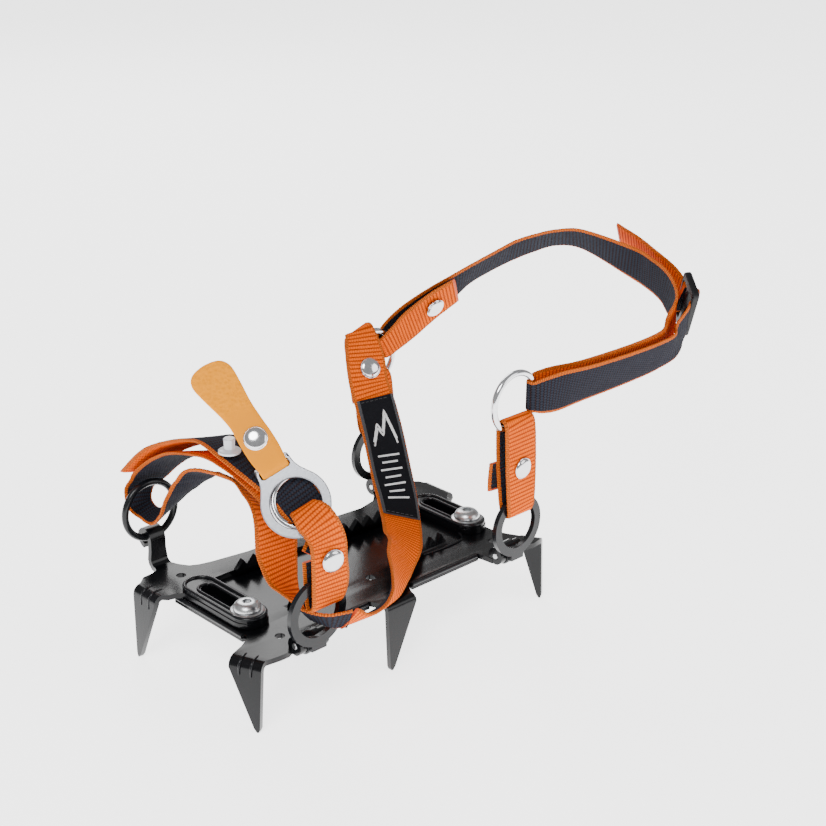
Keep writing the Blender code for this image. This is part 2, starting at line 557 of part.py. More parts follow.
# ----------------------------------------------------------------- webbing
# Each strap is a list of (centre, width direction, width), read off where the
# strap hangs from one ring to the next.
straps = {
    # from the far ankle ring down across the plate, far half
    "label_strap_far": (ORANGE, [
        ((56.5, 55.3, 67), (.95, -.10, .20), 12), ((56, 55.4, 77), (.95, -.10, .25), 13),
        ((55.8, 54.8, 81.8), (.95, 0, .29), 14), ((55.5, 52.4, 83.9), (.95, 0, .29), 15), ((54.5, 48.9, 80.2), (.94, -.15, .25), 17),
        ((52.5, 44.5, 73), (.95, -.25, .10), 20), ((49.8, 39, 62), (.95, -.30, .10), 20),
        ((49.5, 33, 50), (.91, -.39, .14), 20), ((48.1, 26.5, 38), (.88, -.47, .09), 20),
        ((42.7, 15, 23.5), (.88, -.47, .04), 20), ((39, 7.5, 15.8), (.89, -.45, -.08), 20),
        ((34, 0, 11), (.83, -.49, -.24), 20), ((31.4, -3.4, 10.0), (.80, -.52, -.30), 20)]),
    # across the plate and up to the front near ring, near half
    "label_strap_near": (ORANGE, [
        ((30.6, -4.4, 9.7), (.80, -.52, -.30), 20), ((27, -9, 8.7), (.75, -.55, -.37), 20),
        ((18.9, -18, 8.0), (.64, -.59, -.50), 20), ((9.3, -27, 8.0), (.40, -.45, -.80), 19),
        ((-0.6, -35.6, 8.6), (.40, -.38, -.83), 17), ((-10, -44, 7.0), (.26, -.05, -.96), 15),
        ((-20, -49.8, 5.0), (.06, .50, -.86), 14), ((-31, -53.8, 5.0), (.06, .80, -.60), 14),
        ((-42, -57, 6.8), (.06, .80, -.60), 13)]),
    # through the ring and up over the boot, near half
    "instep_strap_near": (ORANGE, [
        ((-50.0, -58.8, 10.4), (.10, .45, -.90), 12), ((-57, -56, 11), (.35, .40, -.85), 11),
        ((-60, -51.2, 11.2), (.55, .30, -.78), 11), ((-62, -45, 12), (.62, .30, -.72), 13),
        ((-62, -39, 14.5), (.70, .25, -.67), 18),
        ((-62, -32, 21), (.86, .09, -.50), 20), ((-62, -28, 31), (.88, -.11, -.45), 20),
        ((-62, -26, 41), (.87, -.20, -.44), 20), ((-62, -21.5, 48), (.81, -.12, -.57), 20),
        ((-62, -14, 53), (.78, .03, -.62), 20), ((-62, -5, 57), (.80, .05, -.60), 20),
        ((-64, 4.5, 59), (.85, .10, -.50), 20)]),
    # down to the standing ring on the far side and back up, far half
    "instep_strap_far": (DARK_WEB, [
        ((-64, 6.2, 59.2), (.85, .10, -.50), 20), ((-66, 13, 58), (.88, .15, -.45), 20),
        ((-66, 24, 51), (.85, .30, -.42), 20), ((-66, 34, 41), (.80, .45, -.35), 20),
        ((-66, 43, 31), (.75, .60, -.20), 18), ((-66.5, 51, 25), (.75, .60, .15), 13),
        ((-67, 58, 23.5), (.85, .40, .20), 11), ((-68, 64, 27), (.90, .20, .30), 13),
        ((-66.5, 65.8, 33.5), (.98, .10, -.05), 18), ((-63.5, 61.8, 39.5), (.97, -.05, -.20), 20),
        ((-63.3, 54.3, 46.6), (.97, -.05, -.25), 20), ((-63.3, 43.5, 54.4), (.97, -.05, -.25), 20),
        ((-63.3, 30.0, 61.0), (.97, -.05, -.25), 20), ((-63.3, 20.8, 64.3), (.98, -.05, -.22), 20)]),
    # over the instep to the buckle, near half
    "instep_strap_over": (ORANGE, [
        ((-63.3, 20, 64.6), (.98, -.05, -.22), 20), ((-63.2, 8, 67.2), (.99, -.04, -.15), 20), ((-62.8, -5, 67.6), (1, -.03, -.05), 20),
        ((-61, -16, 65.2), (.98, -.12, .1), 20), ((-58.5, -24.3, 60.5), (.90, -.25, .28), 19),
        ((-57, -29.3, 54.8), (.88, -.35, .33), 18)]),
    # free tail lying on top
    "instep_strap_tail": (DARK_WEB, [
        ((-63, -17, 69.6), (.99, -.05, .05), 20), ((-65, -7, 73.2), (1, .02, 0), 20),
        ((-65.2, 6.9, 74.9), (.99, 0, -.12), 20), ((-65.3, 22.3, 69.8), (.96, -.04, -.25), 20),
        ((-65.5, 41.8, 60.7), (.95, -.06, -.30), 20), ((-65.5, 53.1, 52.9), (.95, -.06, -.30), 20),
        ((-65.5, 65.1, 41.8), (.95, -.06, -.30), 20)]),
    # short loop between the buckle and the front near ring
    "front_near_loop": (ORANGE, [
        ((-56.5, -48.4, 37), (.97, -.15, .05), 17), (on_buckle(5.0, -17.0, -7.8), (.90, -.35, .15), 15),
        (on_buckle(3.5, -12.5, -7.6), B_W, 14), (on_buckle(3.0, -8.0, -7.2), B_W, 13),
        (on_buckle(2.6, -4.2, -4.0), B_W, 12), (on_buckle(2.4, -3.0, 0.0), B_W, 12),
        (on_buckle(2.6, -4.8, 3.2), B_W, 13), (on_buckle(3.4, -9.0, 4.4), B_W, 16),
        (on_buckle(4.2, -14.0, 4.2), B_W, 18), ((-56, -54.4, 46.5), (.93, -.30, .15), 19),
        ((-56.2, -54.6, 38), (.96, -.15, .05), 18), ((-56.6, -54.4, 27), (.98, -.08, 0), 14),
        ((-57.4, -53.2, 21.6), (1, 0, 0), 8.8), ((-57.5, -51.2, 20.2), (1, 0, 0), 8.8),
        ((-57.4, -49.2, 21.6), (1, 0, 0), 8.8), ((-56.9, -48.6, 27), (.98, -.08, 0), 13),
        ((-56.5, -48.5, 35.6), (.97, -.15, .05), 17)]),
    # short loops between the ankle rings and the rear rings
    "rear_near_loop": (ORANGE, [
        ((58.5, -47.4, 44.5), (1, 0, 0), 20), ((58, -47.2, 62), (1, 0, 0), 18), ((57.5, -48.0, 67.2), (1, 0, 0), 16),
        ((57.5, -50, 68.3), (1, 0, 0), 16), ((57.5, -52.0, 67.2), (1, 0, 0), 16),
        ((58, -53.0, 62), (1, 0, 0), 18), ((58.5, -53.6, 44), (1, 0, 0), 20), ((59, -53.8, 28), (1, 0, 0), 17),
        ((59.5, -53.2, 22.4), (1, 0, 0), 12), ((59.5, -51.2, 20.9), (1, 0, 0), 12), ((59.5, -49.2, 22.4), (1, 0, 0), 12),
        ((59, -48.6, 28), (1, 0, 0), 17), ((58.5, -47.5, 43), (1, 0, 0), 20)]),
    "rear_far_loop": (ORANGE, [
        ((65.5, 48.6, 42), (1, 0, 0), 20), ((65, 49.0, 56), (1, 0, 0), 18), ((64.5, 50.2, 60.0), (1, 0, 0), 15),
        ((64.5, 52, 61.2), (1, 0, 0), 15), ((64.5, 53.8, 60.0), (1, 0, 0), 15), ((65, 55.0, 56), (1, 0, 0), 17),
        ((65.5, 54.6, 42), (1, 0, 0), 20), ((65.5, 54.4, 31), (1, 0, 0), 17),
        ((65.5, 53.7, 25.4), (1, 0, 0), 12), ((65.5, 51.7, 23.9), (1, 0, 0), 12), ((65.5, 49.7, 25.4), (1, 0, 0), 12),
        ((65.5, 49.0, 31), (1, 0, 0), 17), ((65.5, 48.6, 40.6), (1, 0, 0), 20)]),
    # round the heel: far part with its riveted fold, back part, near part, tail
    "heel_strap_far": (DARK_WEB, [
        ((112, 42.0, 94.8), (.40, .41, -.82), 20), ((100, 46, 88.4), (.42, .30, -.85), 20),
        ((86, 48.8, 80.4), (.43, .15, -.88), 18), ((77, 49.2, 75.6), (.44, .05, -.88), 14),
        ((71, 50.2, 72), (.45, 0, -.88), 12), ((69.6, 52, 71.4), (.45, 0, -.88), 12), ((71, 53.8, 72), (.45, 0, -.88), 12),
        ((78, 55.2, 76), (.44, .05, -.88), 15), ((88, 53.8, 81.5), (.42, .18, -.88), 19),
        ((100, 50.4, 88.4), (.41, .30, -.84), 20), ((114, 46, 95.4), (.40, .41, -.82), 20),
        ((126, 44.5, 100.4), (.37, .54, -.75), 20), ((139, 42, 104.8), (.38, .56, -.74), 20),
        ((150, 39, 108.5), (.44, .53, -.73), 20), ((160, 34, 111.6), (.51, .53, -.68), 20),
        ((170, 27, 114.2), (.59, .51, -.63), 20), ((178, 16, 113.7), (.57, .42, -.71), 20),
        ((183, 2.4, 110.2), (.44, .36, -.82), 20)]),
    "heel_strap_back": (DARK_WEB, [
        ((183.4, 1.4, 109.9), (.44, .36, -.82), 20), ((185, -10, 106.2), (.30, .27, -.91), 20),
        ((184, -24, 102.8), (.25, .20, -.95), 20), ((181, -35, 99.6), (.24, .30, -.93), 20),
        ((177.8, -42.5, 94.6), (.28, .38, -.88), 20)]),
    "heel_strap_near": (DARK_WEB, [
        ((172.3, -52.6, 82.3), (.72, .30, -.60), 20), ((165, -54.8, 77.5), (.70, .32, -.62), 20),
        ((152, -55.3, 75.5), (.55, .32, -.76), 20), ((128, -55.2, 74.8), (.42, .30, -.84), 20),
        ((100, -54.6, 74.8), (.36, .24, -.88), 20), ((82, -54.4, 75.4), (.25, .12, -.94), 17),
        ((72, -53.6, 75.7), (.05, 0, -1), 12), ((67.3, -52.0, 75.7), (0, 0, -1), 9.5),
        ((66.5, -50, 75.7), (0, 0, -1), 9.5), ((67.3, -48.0, 75.7), (0, 0, -1), 9.5),
        ((72, -46.6, 75.9), (.05, 0, -1), 13), ((82, -47.6, 76.2), (.25, .12, -.94), 17),
        ((100, -50.4, 76.6), (.36, .24, -.88), 20), ((128, -51.8, 77.2), (.42, .30, -.84), 20),
        ((151, -52.0, 78.4), (.55, .32, -.76), 20), ((162, -51.0, 80.6), (.70, .32, -.62), 20),
        ((169.2, -48.8, 85.4), (.74, .30, -.58), 20)]),
    "heel_strap_tail": (ORANGE, [
        ((187.8, -34.5, 100.6), (.30, .42, -.85), 20), ((191, -21, 107.0), (.50, .42, -.74), 20),
        ((192, -9, 112.6), (.58, .44, -.68), 20), ((190.4, 3.4, 118.0), (.62, .46, -.62), 20)]),
}
for name, (mat, stations) in straps.items():
    add(name, ribbon(stations), mat)

# plain woven patch on the outer face of the crossing strap
patch = ribbon([((49.5, 34.3, 55.7), (.93, -.36, .13), 18.4), ((49.0, 31.8, 50.8), (.91, -.39, .14), 18.4),
                ((47.5, 25.4, 38.9), (.88, -.47, .09), 18.4), ((42.2, 14.1, 24.8), (.88, -.47, .04), 18.4),
                ((38.7, 6.6, 17.3), (.89, -.45, -.08), 18.4), ((34.1, -0.6, 12.6), (.83, -.49, -.24), 18.4),
                ((31.9, -3.6, 11.5), (.80, -.52, -.29), 18.4)], 2, 0.8)
add("label_patch", patch, PATCH)

# rivet heads
cap("label_rivet", (52.2, 40.5, 68.4), (-.28, -.81, .48))
cap("rear_near_rivet", (58.5, -54.8, 44.5), (0, -1, 0))
cap("rear_far_rivet", (65.5, 47.4, 45.0), (0, -1, 0))
cap("front_near_rivet", (-56.4, -56.4, 38.5), (-.15, -.99, .04))
cap("heel_rivet", (99.6, 44.3, 87.5), (-.10, -.91, -.37))

# ------------------------------------------------------------------ slider
SL_C = Vector((181.0, -45.2, 92.8))
SL_V = Vector((.30, .40, -.86))                            # along its bars
SL_N = Vector((.83, -.55, .04))
bars = slab([(-15.5, -8.5), (15.5, -8.5), (15.5, 8.5), (-15.5, 8.5)],
            [[(-11.0, -6.2), (-11.0, -1.5), (11.0, -1.5), (11.0, -6.2)],
             [(-11.0, 1.5), (-11.0, 6.2), (11.0, 6.2), (11.0, 1.5)]], -1.2, 1.2)
placed(bars, SL_C + SL_N.normalized() * 3.0, SL_V, SL_N)
add("strap_slider", bars, BLACK_PLASTIC)
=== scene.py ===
import math

import bmesh
import bpy
from mathutils import Matrix, Vector


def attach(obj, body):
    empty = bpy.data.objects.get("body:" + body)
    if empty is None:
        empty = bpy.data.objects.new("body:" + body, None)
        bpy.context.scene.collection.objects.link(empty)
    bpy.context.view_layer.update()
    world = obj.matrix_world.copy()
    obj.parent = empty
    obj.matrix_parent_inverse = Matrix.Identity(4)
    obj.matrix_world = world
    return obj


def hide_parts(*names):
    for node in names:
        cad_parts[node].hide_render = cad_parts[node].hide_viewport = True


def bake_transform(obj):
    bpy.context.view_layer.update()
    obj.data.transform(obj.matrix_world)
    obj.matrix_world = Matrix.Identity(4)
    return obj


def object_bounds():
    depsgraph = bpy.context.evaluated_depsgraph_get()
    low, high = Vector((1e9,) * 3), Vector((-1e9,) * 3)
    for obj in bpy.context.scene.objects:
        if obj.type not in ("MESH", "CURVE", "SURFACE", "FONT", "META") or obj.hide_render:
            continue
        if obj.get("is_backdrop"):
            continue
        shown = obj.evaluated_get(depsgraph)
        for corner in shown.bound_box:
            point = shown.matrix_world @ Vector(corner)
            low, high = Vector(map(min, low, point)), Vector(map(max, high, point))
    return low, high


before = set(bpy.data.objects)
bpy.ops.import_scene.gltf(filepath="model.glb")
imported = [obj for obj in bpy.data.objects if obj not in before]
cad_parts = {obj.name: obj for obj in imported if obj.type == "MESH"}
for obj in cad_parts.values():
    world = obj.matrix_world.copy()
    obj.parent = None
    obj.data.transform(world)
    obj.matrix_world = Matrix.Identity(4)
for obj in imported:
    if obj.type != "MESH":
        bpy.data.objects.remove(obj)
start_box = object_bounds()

MM = 0.001


# ------------------------------------------------------------------ helpers
def arc(cx, cy, r, a0, a1, n):
    return [(cx + r * math.cos(math.radians(a0 + (a1 - a0) * i / n)),
             cy + r * math.sin(math.radians(a0 + (a1 - a0) * i / n)))
            for i in range(n + 1)]


def circle(cx, cy, r, n=16, start=0.0):
    return [(cx + r * math.cos(2 * math.pi * i / n + start),
             cy + r * math.sin(2 * math.pi * i / n + start)) for i in range(n)]


def loop_edges(bm, pts, z):
    vs = [bm.verts.new((x, y, z)) for x, y in pts]
    es = [bm.edges.new((vs[i], vs[(i + 1) % len(vs)])) for i in range(len(vs))]
    return vs, es


def flat_with_holes(bm, outline, holes, z):
    """One flat layer inside the outline, open where the holes are."""
    vs, es = loop_edges(bm, outline, z)
    hole_vs = []
    for h in holes:
        hv, he = loop_edges(bm, h, z)
        hole_vs.append(hv)
        es += he
    bmesh.ops.triangle_fill(bm, use_beauty=True, use_dissolve=False, edges=es,
                            normal=(0, 0, 1))
    return vs, hole_vs


def slab(outline, holes, z0, z1):
    """Flat closed solid between two heights."""
    bm = bmesh.new()
    flat_with_holes(bm, outline, holes, z0)
    r = bmesh.ops.extrude_face_region(bm, geom=bm.faces[:])
    for v in [g for g in r["geom"] if isinstance(g, bmesh.types.BMVert)]:
        v.co.z = z1
    bmesh.ops.recalc_face_normals(bm, faces=bm.faces)
    return bm


def spline(points, n):
    """Catmull-Rom curve through the points, n steps to a span."""
    P = [Vector(p) for p in points]
    P = [P[0] * 2 - P[1]] + P + [P[-1] * 2 - P[-2]]
    out = []
    for i in range(1, len(P) - 2):
        for k in range(n):
            t = k / n
            out.append(0.5 * ((2 * P[i]) + (P[i + 1] - P[i - 1]) * t
                              + (2 * P[i - 1] - 5 * P[i] + 4 * P[i + 1] - P[i + 2]) * t * t
                              + (3 * P[i] - P[i - 1] - 3 * P[i + 1] + P[i + 2]) * t ** 3))
    out.append(P[-2])
    return out


# place on the buckle: w across, u up its neck, n out of its face
BK_O = Vector((-60.0, -38.0, 59.0))
BK_N = Vector((-0.55, -0.62, 0.56)).normalized()
BK_U = Vector((-0.08, 0.70, 0.70))
BK_U = (BK_U - BK_N * BK_U.dot(BK_N)).normalized()
B_W = BK_U.cross(BK_N)


def on_buckle(w, u, n=0.0):
    return BK_O + B_W * w + BK_U * u + BK_N * n


# straps: each is a list of centre, width direction and width in millimetres
straps = {
    # from the far ankle ring down across the plate, far half
    "label_strap_far": [
        ((56.5, 55.3, 67), (.95, -.10, .20), 12), ((56, 55.4, 77), (.95, -.10, .25), 13),
        ((55.8, 54.8, 81.8), (.95, 0, .29), 14), ((55.5, 52.4, 83.9), (.95, 0, .29), 15), ((54.5, 48.9, 80.2), (.94, -.15, .25), 17),
        ((52.5, 44.5, 73), (.95, -.25, .10), 20), ((49.8, 39, 62), (.95, -.30, .10), 20),
        ((49.5, 33, 50), (.91, -.39, .14), 20), ((48.1, 26.5, 38), (.88, -.47, .09), 20),
        ((42.7, 15, 23.5), (.88, -.47, .04), 20), ((39, 7.5, 15.8), (.89, -.45, -.08), 20),
        ((34, 0, 11), (.83, -.49, -.24), 20), ((31.4, -3.4, 10.0), (.80, -.52, -.30), 20)],
    # across the plate and up to the front near ring, near half
    "label_strap_near": [
        ((30.6, -4.4, 9.7), (.80, -.52, -.30), 20), ((27, -9, 8.7), (.75, -.55, -.37), 20),
        ((18.9, -18, 8.0), (.64, -.59, -.50), 20), ((9.3, -27, 8.0), (.40, -.45, -.80), 19),
        ((-0.6, -35.6, 8.6), (.40, -.38, -.83), 17), ((-10, -44, 7.0), (.26, -.05, -.96), 15),
        ((-20, -49.8, 5.0), (.06, .50, -.86), 14), ((-31, -53.8, 5.0), (.06, .80, -.60), 14),
        ((-42, -57, 6.8), (.06, .80, -.60), 13)],
    # through the ring and up over the boot, near half
    "instep_strap_near": [
        ((-50.0, -58.8, 10.4), (.10, .45, -.90), 12), ((-57, -56, 11), (.35, .40, -.85), 11),
        ((-60, -51.2, 11.2), (.55, .30, -.78), 11), ((-62, -45, 12), (.62, .30, -.72), 13),
        ((-62, -39, 14.5), (.70, .25, -.67), 18),
        ((-62, -32, 21), (.86, .09, -.50), 20), ((-62, -28, 31), (.88, -.11, -.45), 20),
        ((-62, -26, 41), (.87, -.20, -.44), 20), ((-62, -21.5, 48), (.81, -.12, -.57), 20),
        ((-62, -14, 53), (.78, .03, -.62), 20), ((-62, -5, 57), (.80, .05, -.60), 20),
        ((-64, 4.5, 59), (.85, .10, -.50), 20)],
    # down to the standing ring on the far side and back up, far half
    "instep_strap_far": [
        ((-64, 6.2, 59.2), (.85, .10, -.50), 20), ((-66, 13, 58), (.88, .15, -.45), 20),
        ((-66, 24, 51), (.85, .30, -.42), 20), ((-66, 34, 41), (.80, .45, -.35), 20),
        ((-66, 43, 31), (.75, .60, -.20), 18), ((-66.5, 51, 25), (.75, .60, .15), 13),
        ((-67, 58, 23.5), (.85, .40, .20), 11), ((-68, 64, 27), (.90, .20, .30), 13),
        ((-66.5, 65.8, 33.5), (.98, .10, -.05), 18), ((-63.5, 61.8, 39.5), (.97, -.05, -.20), 20),
        ((-63.3, 54.3, 46.6), (.97, -.05, -.25), 20), ((-63.3, 43.5, 54.4), (.97, -.05, -.25), 20),
        ((-63.3, 30.0, 61.0), (.97, -.05, -.25), 20), ((-63.3, 20.8, 64.3), (.98, -.05, -.22), 20)],
    # over the instep to the buckle, near half
    "instep_strap_over": [
        ((-63.3, 20, 64.6), (.98, -.05, -.22), 20), ((-63.2, 8, 67.2), (.99, -.04, -.15), 20), ((-62.8, -5, 67.6), (1, -.03, -.05), 20),
        ((-61, -16, 65.2), (.98, -.12, .1), 20), ((-58.5, -24.3, 60.5), (.90, -.25, .28), 19),
        ((-57, -29.3, 54.8), (.88, -.35, .33), 18)],
    # free tail lying on top
    "instep_strap_tail": [
        ((-63, -17, 69.6), (.99, -.05, .05), 20), ((-65, -7, 73.2), (1, .02, 0), 20),
        ((-65.2, 6.9, 74.9), (.99, 0, -.12), 20), ((-65.3, 22.3, 69.8), (.96, -.04, -.25), 20),
        ((-65.5, 41.8, 60.7), (.95, -.06, -.30), 20), ((-65.5, 53.1, 52.9), (.95, -.06, -.30), 20),
        ((-65.5, 65.1, 41.8), (.95, -.06, -.30), 20)],
    # short loop between the buckle and the front near ring
    "front_near_loop": [
        ((-56.5, -48.4, 37), (.97, -.15, .05), 17), (on_buckle(5.0, -17.0, -7.8), (.90, -.35, .15), 15),
        (on_buckle(3.5, -12.5, -7.6), B_W, 14), (on_buckle(3.0, -8.0, -7.2), B_W, 13),
        (on_buckle(2.6, -4.2, -4.0), B_W, 12), (on_buckle(2.4, -3.0, 0.0), B_W, 12),
        (on_buckle(2.6, -4.8, 3.2), B_W, 13), (on_buckle(3.4, -9.0, 4.4), B_W, 16),
        (on_buckle(4.2, -14.0, 4.2), B_W, 18), ((-56, -54.4, 46.5), (.93, -.30, .15), 19),
        ((-56.2, -54.6, 38), (.96, -.15, .05), 18), ((-56.6, -54.4, 27), (.98, -.08, 0), 14),
        ((-57.4, -53.2, 21.6), (1, 0, 0), 8.8), ((-57.5, -51.2, 20.2), (1, 0, 0), 8.8),
        ((-57.4, -49.2, 21.6), (1, 0, 0), 8.8), ((-56.9, -48.6, 27), (.98, -.08, 0), 13),
        ((-56.5, -48.5, 35.6), (.97, -.15, .05), 17)],
    # short loops between the ankle rings and the rear rings
    "rear_near_loop": [
        ((58.5, -47.4, 44.5), (1, 0, 0), 20), ((58, -47.2, 62), (1, 0, 0), 18), ((57.5, -48.0, 67.2), (1, 0, 0), 16),
        ((57.5, -50, 68.3), (1, 0, 0), 16), ((57.5, -52.0, 67.2), (1, 0, 0), 16),
        ((58, -53.0, 62), (1, 0, 0), 18), ((58.5, -53.6, 44), (1, 0, 0), 20), ((59, -53.8, 28), (1, 0, 0), 17),
        ((59.5, -53.2, 22.4), (1, 0, 0), 12), ((59.5, -51.2, 20.9), (1, 0, 0), 12), ((59.5, -49.2, 22.4), (1, 0, 0), 12),
        ((59, -48.6, 28), (1, 0, 0), 17), ((58.5, -47.5, 43), (1, 0, 0), 20)],
    "rear_far_loop": [
        ((65.5, 48.6, 42), (1, 0, 0), 20), ((65, 49.0, 56), (1, 0, 0), 18), ((64.5, 50.2, 60.0), (1, 0, 0), 15),
        ((64.5, 52, 61.2), (1, 0, 0), 15), ((64.5, 53.8, 60.0), (1, 0, 0), 15), ((65, 55.0, 56), (1, 0, 0), 17),
        ((65.5, 54.6, 42), (1, 0, 0), 20), ((65.5, 54.4, 31), (1, 0, 0), 17),
        ((65.5, 53.7, 25.4), (1, 0, 0), 12), ((65.5, 51.7, 23.9), (1, 0, 0), 12), ((65.5, 49.7, 25.4), (1, 0, 0), 12),
        ((65.5, 49.0, 31), (1, 0, 0), 17), ((65.5, 48.6, 40.6), (1, 0, 0), 20)],
    # round the heel: far part with its riveted fold, back part, near part, tail
    "heel_strap_far": [
        ((112, 42.0, 94.8), (.40, .41, -.82), 20), ((100, 46, 88.4), (.42, .30, -.85), 20),
        ((86, 48.8, 80.4), (.43, .15, -.88), 18), ((77, 49.2, 75.6), (.44, .05, -.88), 14),
        ((71, 50.2, 72), (.45, 0, -.88), 12), ((69.6, 52, 71.4), (.45, 0, -.88), 12), ((71, 53.8, 72), (.45, 0, -.88), 12),
        ((78, 55.2, 76), (.44, .05, -.88), 15), ((88, 53.8, 81.5), (.42, .18, -.88), 19),
        ((100, 50.4, 88.4), (.41, .30, -.84), 20), ((114, 46, 95.4), (.40, .41, -.82), 20),
        ((126, 44.5, 100.4), (.37, .54, -.75), 20), ((139, 42, 104.8), (.38, .56, -.74), 20),
        ((150, 39, 108.5), (.44, .53, -.73), 20), ((160, 34, 111.6), (.51, .53, -.68), 20),
        ((170, 27, 114.2), (.59, .51, -.63), 20), ((178, 16, 113.7), (.57, .42, -.71), 20),
        ((183, 2.4, 110.2), (.44, .36, -.82), 20)],
    "heel_strap_back": [
        ((183.4, 1.4, 109.9), (.44, .36, -.82), 20), ((185, -10, 106.2), (.30, .27, -.91), 20),
        ((184, -24, 102.8), (.25, .20, -.95), 20), ((181, -35, 99.6), (.24, .30, -.93), 20),
        ((177.8, -42.5, 94.6), (.28, .38, -.88), 20)],
    "heel_strap_near": [
        ((172.3, -52.6, 82.3), (.72, .30, -.60), 20), ((165, -54.8, 77.5), (.70, .32, -.62), 20),
        ((152, -55.3, 75.5), (.55, .32, -.76), 20), ((128, -55.2, 74.8), (.42, .30, -.84), 20),
        ((100, -54.6, 74.8), (.36, .24, -.88), 20), ((82, -54.4, 75.4), (.25, .12, -.94), 17),
        ((72, -53.6, 75.7), (.05, 0, -1), 12), ((67.3, -52.0, 75.7), (0, 0, -1), 9.5),
        ((66.5, -50, 75.7), (0, 0, -1), 9.5), ((67.3, -48.0, 75.7), (0, 0, -1), 9.5),
        ((72, -46.6, 75.9), (.05, 0, -1), 13), ((82, -47.6, 76.2), (.25, .12, -.94), 17),
        ((100, -50.4, 76.6), (.36, .24, -.88), 20), ((128, -51.8, 77.2), (.42, .30, -.84), 20),
        ((151, -52.0, 78.4), (.55, .32, -.76), 20), ((162, -51.0, 80.6), (.70, .32, -.62), 20),
        ((169.2, -48.8, 85.4), (.74, .30, -.58), 20)],
    "heel_strap_tail": [
        ((187.8, -34.5, 100.6), (.30, .42, -.85), 20), ((191, -21, 107.0), (.50, .42, -.74), 20),
        ((192, -9, 112.6), (.58, .44, -.68), 20), ((190.4, 3.4, 118.0), (.62, .46, -.62), 20)],
}

# pressed line on the panel beside the rear arm
EMBOSS = [(60.5, 2.5, -2.5), (60.0, -9.0, -2.5), (59.0, -15.5, -2.5), (55.5, -20.0, -2.5), (47.5, -21.0, -2.5), (39.0, -20.5, -2.5), (30.5, -19.5, -2.5)]

# ---------------------------------------------------------------- materials
def node(nt, kind, props=None, ins=None):
    nd = nt.nodes.new(kind)
    for k, v in (props or {}).items():
        setattr(nd, k, v)
    for k, v in (ins or {}).items():
        if isinstance(v, bpy.types.NodeSocket):
            nt.links.new(v, nd.inputs[k])
        else:
            nd.inputs[k].default_value = v
    return nd


def calc(nt, op, a, b=0.0, c=0.0, clamp=False):
    return node(nt, "ShaderNodeMath", {"operation": op, "use_clamp": clamp}, {0: a, 1: b, 2: c}).outputs[0]


def mix(nt, fac, a, b):
    nd = nt.nodes.new("ShaderNodeMix")
    nd.data_type = "RGBA"
    for i, v in ((0, fac), (6, a), (7, b)):
        if isinstance(v, bpy.types.NodeSocket):
            nt.links.new(v, nd.inputs[i])
        elif i:
            nd.inputs[i].default_value = (*v, 1.0)
        else:
            nd.inputs[i].default_value = v
    return nd.outputs[2]


def fresh(name):
    m = bpy.data.materials.new(name)
    m.use_nodes = True
    nt = m.node_tree
    return m, nt, nt.nodes["Principled BSDF"]


def noise(nt, scale, detail=3.0, coord=None):
    if coord is None:
        coord = node(nt, "ShaderNodeTexCoord").outputs["Object"]
    return node(nt, "ShaderNodeTexNoise", None, {"Vector": coord, "Scale": scale, "Detail": detail}).outputs[0]


def ramp(nt, fac, lo, hi):
    return node(nt, "ShaderNodeMapRange", {"clamp": True}, {0: fac, 1: lo, 2: hi, 3: 0.0, 4: 1.0}).outputs[0]


def metal(name, dark, light, rough, metallic, bump, scale=900.0, coat=0.0):
    """Metal or paint with a fine grain and cloudy wear."""
    m, nt, b = fresh(name)
    fine, broad = noise(nt, scale, 4.0), noise(nt, 55.0, 5.0)
    wear = calc(nt, "MULTIPLY_ADD", fine, 0.45, calc(nt, "MULTIPLY", broad, 0.55))
    nt.links.new(mix(nt, ramp(nt, wear, 0.3, 0.72), dark, light), b.inputs["Base Color"])
    nt.links.new(calc(nt, "MULTIPLY_ADD", wear, rough[1] - rough[0], rough[0]), b.inputs["Roughness"])
    b.inputs["Metallic"].default_value = metallic
    b.inputs["Specular IOR Level"].default_value = 0.5 if metallic > 0.2 else 0.2
    b.inputs["Coat Weight"].default_value = coat
    b.inputs["Coat Roughness"].default_value = 0.22
    bp = node(nt, "ShaderNodeBump", None, {"Strength": bump, "Distance": 0.0002, "Height": fine})
    nt.links.new(bp.outputs[0], b.inputs["Normal"])
    return m


RIB = 1.9      # pitch of the ribs across the webbing, mm
YARN = 1.25     # pitch of the yarns across its width, mm


